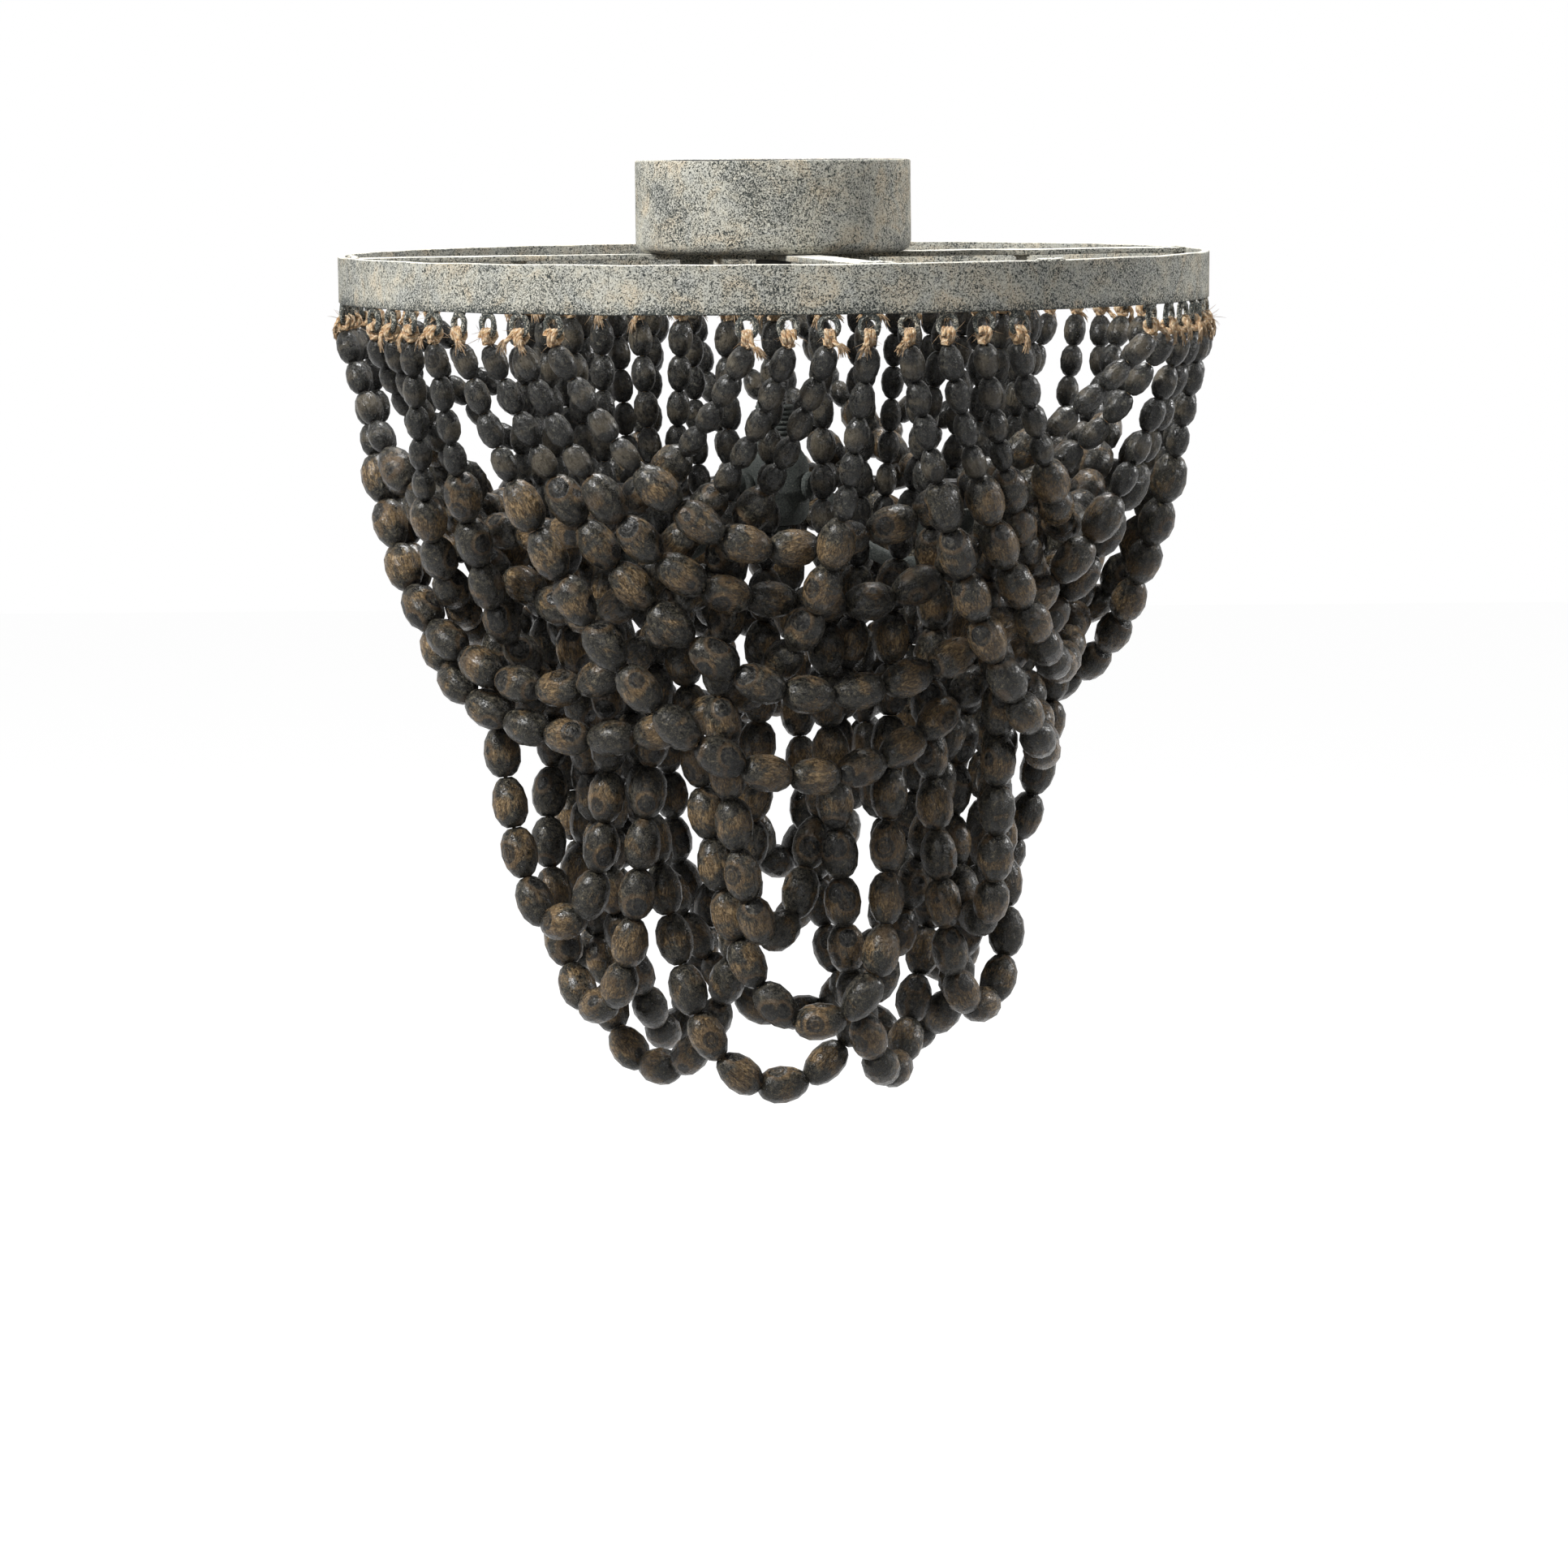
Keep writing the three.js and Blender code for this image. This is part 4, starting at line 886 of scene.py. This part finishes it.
def lay_twine(shape, path, radii, sides):
    """Adds a length of twine to the shape. The path and the radii are in millimetres."""
    length = twine_along([point * MM for point in path], [radius * MM for radius in radii], sides)
    put(shape, length)
    length.free()


def frayed_tail(shape, root, sway):
    """A cut end that hangs from its root in front of the first bead and opens into a bundle of fibres."""
    drop = hand.uniform(2.4, 4.6)
    end = root + Vector((0.4 + sway * 0.8, -1.9, -drop))
    upper = root + Vector((0.3, -1.1, -drop * 0.25))
    lower = root + Vector((0.3 + sway * 0.4, -1.7, -drop * 0.6))
    stub = [root, upper, lower, end]
    lay_twine(shape, smooth_path(stub, 2), [KNOT_TWINE * (1 - 0.05 * i) for i in range(7)], 7)
    for _ in range(FIBRES_PER_TAIL):
        spread = Vector((hand.uniform(-2.1, 2.1), hand.uniform(-0.8, 0.5), 0))
        length = hand.uniform(2.5, 6.5)
        top = end + spread * 0.3 + Vector((0, 0, 1.6))
        middle = top + spread * 0.5 + Vector((sway * 0.5, -0.3, -length * 0.5))
        tip = top + spread * 1.1 + Vector((sway * 0.9, 0.1, -length))
        lay_twine(shape, [top, (top + middle) / 2, middle, tip], [0.4, 0.46, 0.36, 0.12], 4)


def knot(wire_radius, bead_drop):
    """Twine wound round a wire along X. Outwards is -Y, and the first bead hangs bead_drop lower."""
    shape = bmesh.new()
    shape.verts.layers.float_vector.new("twine_lay")
    wind = wire_radius + KNOT_TWINE * 0.8
    half_width = hand.uniform(1.5, 2.9)
    turns = hand.uniform(2.42, 2.6)
    path = [Vector((0, 0, -bead_drop - 3)), Vector((-0.5, 1.0, -bead_drop + 0.5))]
    for i in range(KNOT_STEPS + 1):
        share = i / KNOT_STEPS
        angle = math.tau * turns * share
        reach = wind * hand.uniform(0.9, 1.2)
        across = half_width * (2 * share - 1)
        path.append(Vector((across, reach * math.cos(angle), reach * math.sin(angle))))
    lay_twine(shape, path, [KNOT_TWINE * hand.uniform(0.9, 1.12) for _ in path], 7)
    throat = [
        Vector((x, y, z - bead_drop))
        for x, y, z in ((0.6, -1.4, 1.2), (-1.6, -0.2, 1.4), (0, 1.7, 1.2), (1.9, 0, 1.0), (0.2, -1.9, 0.9))
    ]
    lay_twine(shape, smooth_path(throat, 3), [KNOT_TWINE * 0.9] * 13, 6)
    if hand.random() < 0.7:
        frayed_tail(shape, path[-1], hand.uniform(-2.2, 2.8))
    if hand.random() < 0.25:
        frayed_tail(shape, Vector((-half_width, -wind * 0.9, -0.5)), hand.uniform(-3.2, -0.8))
    for _ in range(HAIRS_PER_KNOT):
        root = path[hand.randrange(3, len(path))]
        away = Vector((hand.uniform(-1, 1), hand.uniform(-0.8, 0.4), hand.uniform(-1, 0.7))).normalized()
        bend = Vector((hand.uniform(-1, 1), hand.uniform(-1, 1), hand.uniform(-1, 1)))
        length = hand.uniform(4, 8)
        hair = [root + away * length * t + bend * length * 0.25 * t * t for t in (0, 0.35, 0.7, 1.0)]
        lay_twine(shape, hair, [0.12, 0.12, 0.1, 0.04], 3)
    if hand.random() < 0.5:
        bmesh.ops.scale(shape, vec=(-1, 1, 1), verts=shape.verts)
        bmesh.ops.reverse_faces(shape, faces=shape.faces)
    return shape


twine = jute()
eyelet_low = EYELET_CENTRE - EYELET_HEIGHT / 2
for tier, wire_radius, wire_ring, wire_height in (
    ("outer", EYELET_WIRE, RING_RADIUS - BAND_THICKNESS / 2, eyelet_low + EYELET_WIRE),
    ("inner", ROD_RADIUS, INNER_RING_RADIUS, ROD_HEIGHT),
):
    tied = bmesh.new()
    tied.verts.layers.float_vector.new("twine_lay")
    for name in strands:
        if not name.startswith(tier):
            continue
        places = strand_paths[name]
        thread = twine_along(places[1:-1:2], [TWINE_RADIUS * MM] * len(places[1:-1:2]), 6)
        put(tied, thread)
        thread.free()
        for end, bead_top in ((places[0], places[1]), (places[-1], places[-2])):
            azimuth = math.degrees(math.atan2(end.x, -end.y))
            loop = knot(wire_radius, wire_height - bead_top.z / MM)
            wire_place = Matrix.Translation((0, -wire_ring * MM, wire_height * MM))
            put(tied, loop, azimuth_turn(azimuth) @ wire_place)
            loop.free()
    finished(f"{tier}_twine", tied, "fixture", twine)

# Studio: a plain pale floor well below the light, a white surround, and soft lamps at the upper left, in
# front, at the right and above. The camera stands level with the canopy and looks a little down, as the
# photograph's does.
FLOOR_HEIGHT = -1.1
CAMERA_DISTANCE = 2.111
CAMERA_SIDE = 0.0029
CAMERA_HEIGHT = 0.0148
CAMERA_PITCH = 7.84
CAMERA_ROLL = -0.42
CAMERA_LENS = 109.8

bpy.ops.mesh.primitive_plane_add(size=14, location=(0, 2, FLOOR_HEIGHT))
floor = bpy.context.object
floor.name = "pale_floor"
floor_material, floor_tree, floor_surface = new_material("pale_floor", roughness=0.9)
floor_surface.inputs["Base Color"].default_value = colour(100, 100, 100)
light_path = floor_tree.nodes.new("ShaderNodeLightPath")
glow = add(floor_tree, "Emission", {"Strength": 0.96})
glow_and_shade = floor_tree.nodes.new("ShaderNodeAddShader")
dim = add(floor_tree, "BsdfDiffuse", {"Color": colour(140, 140, 140)})
floor_tree.links.new(glow, glow_and_shade.inputs[0])
floor_tree.links.new(dim, glow_and_shade.inputs[1])
glossy_or_seen = (light_path.outputs["Is Camera Ray"], light_path.outputs["Is Glossy Ray"])
seen = maths(floor_tree, "MAXIMUM", *glossy_or_seen)
seen = maths(floor_tree, "MAXIMUM", seen, light_path.outputs["Is Transmission Ray"])
choose = floor_tree.nodes.new("ShaderNodeMixShader")
floor_tree.links.new(seen, choose.inputs[0])
floor_tree.links.new(floor_surface.outputs[0], choose.inputs[1])
floor_tree.links.new(glow_and_shade.outputs[0], choose.inputs[2])
floor_tree.links.new(choose.outputs[0], floor_tree.nodes["Material Output"].inputs["Surface"])
floor.data.materials.append(floor_material)

world = bpy.data.worlds.new("white_surround")
bpy.context.scene.world = world
world.use_nodes = True
world_tree = world.node_tree
background = world_tree.nodes["Background"]
world_path = world_tree.nodes.new("ShaderNodeLightPath")
glossy_or_shown = (world_path.outputs["Is Camera Ray"], world_path.outputs["Is Glossy Ray"])
shown = maths(world_tree, "MAXIMUM", *glossy_or_shown)
shown = maths(world_tree, "MAXIMUM", shown, world_path.outputs["Is Transmission Ray"])
background.inputs["Color"].default_value = (1, 1, 1, 1)
world_tree.links.new(maths(world_tree, "MULTIPLY_ADD", shown, 0.93, 0.07), background.inputs["Strength"])

for name, place, size, power in (
    ("lamp_left", (-2.0, -1.6, 1.9), 0.55, 138),
    ("lamp_front", (-0.4, -2.7, 0.7), 1.6, 15),
    ("lamp_right_back", (2.3, 0.7, 0.7), 0.5, 43),
    ("lamp_above_back", (0.2, 1.0, 2.2), 1.0, 100),
):
    light = bpy.data.lights.new(name, "AREA")
    light.shape = "DISK"
    light.size = size
    light.energy = power
    lamp = bpy.data.objects.new(name, light)
    lamp.location = place
    lamp.rotation_euler = (Vector((0, 0, -0.2)) - Vector(place)).to_track_quat("-Z", "Y").to_euler()
    bpy.context.scene.collection.objects.link(lamp)

camera_data = bpy.data.cameras.new("camera")
camera_data.lens = CAMERA_LENS
camera_data.sensor_width = 36
camera = bpy.data.objects.new("camera", camera_data)
camera.matrix_world = (
    Matrix.Translation((CAMERA_SIDE, -CAMERA_DISTANCE, CAMERA_HEIGHT))
    @ Matrix.Rotation(math.radians(90 - CAMERA_PITCH), 4, "X")
    @ Matrix.Rotation(math.radians(CAMERA_ROLL), 4, "Z")
)
bpy.context.scene.collection.objects.link(camera)
bpy.context.scene.camera = camera
bpy.context.scene.view_settings.view_transform = "Standard"
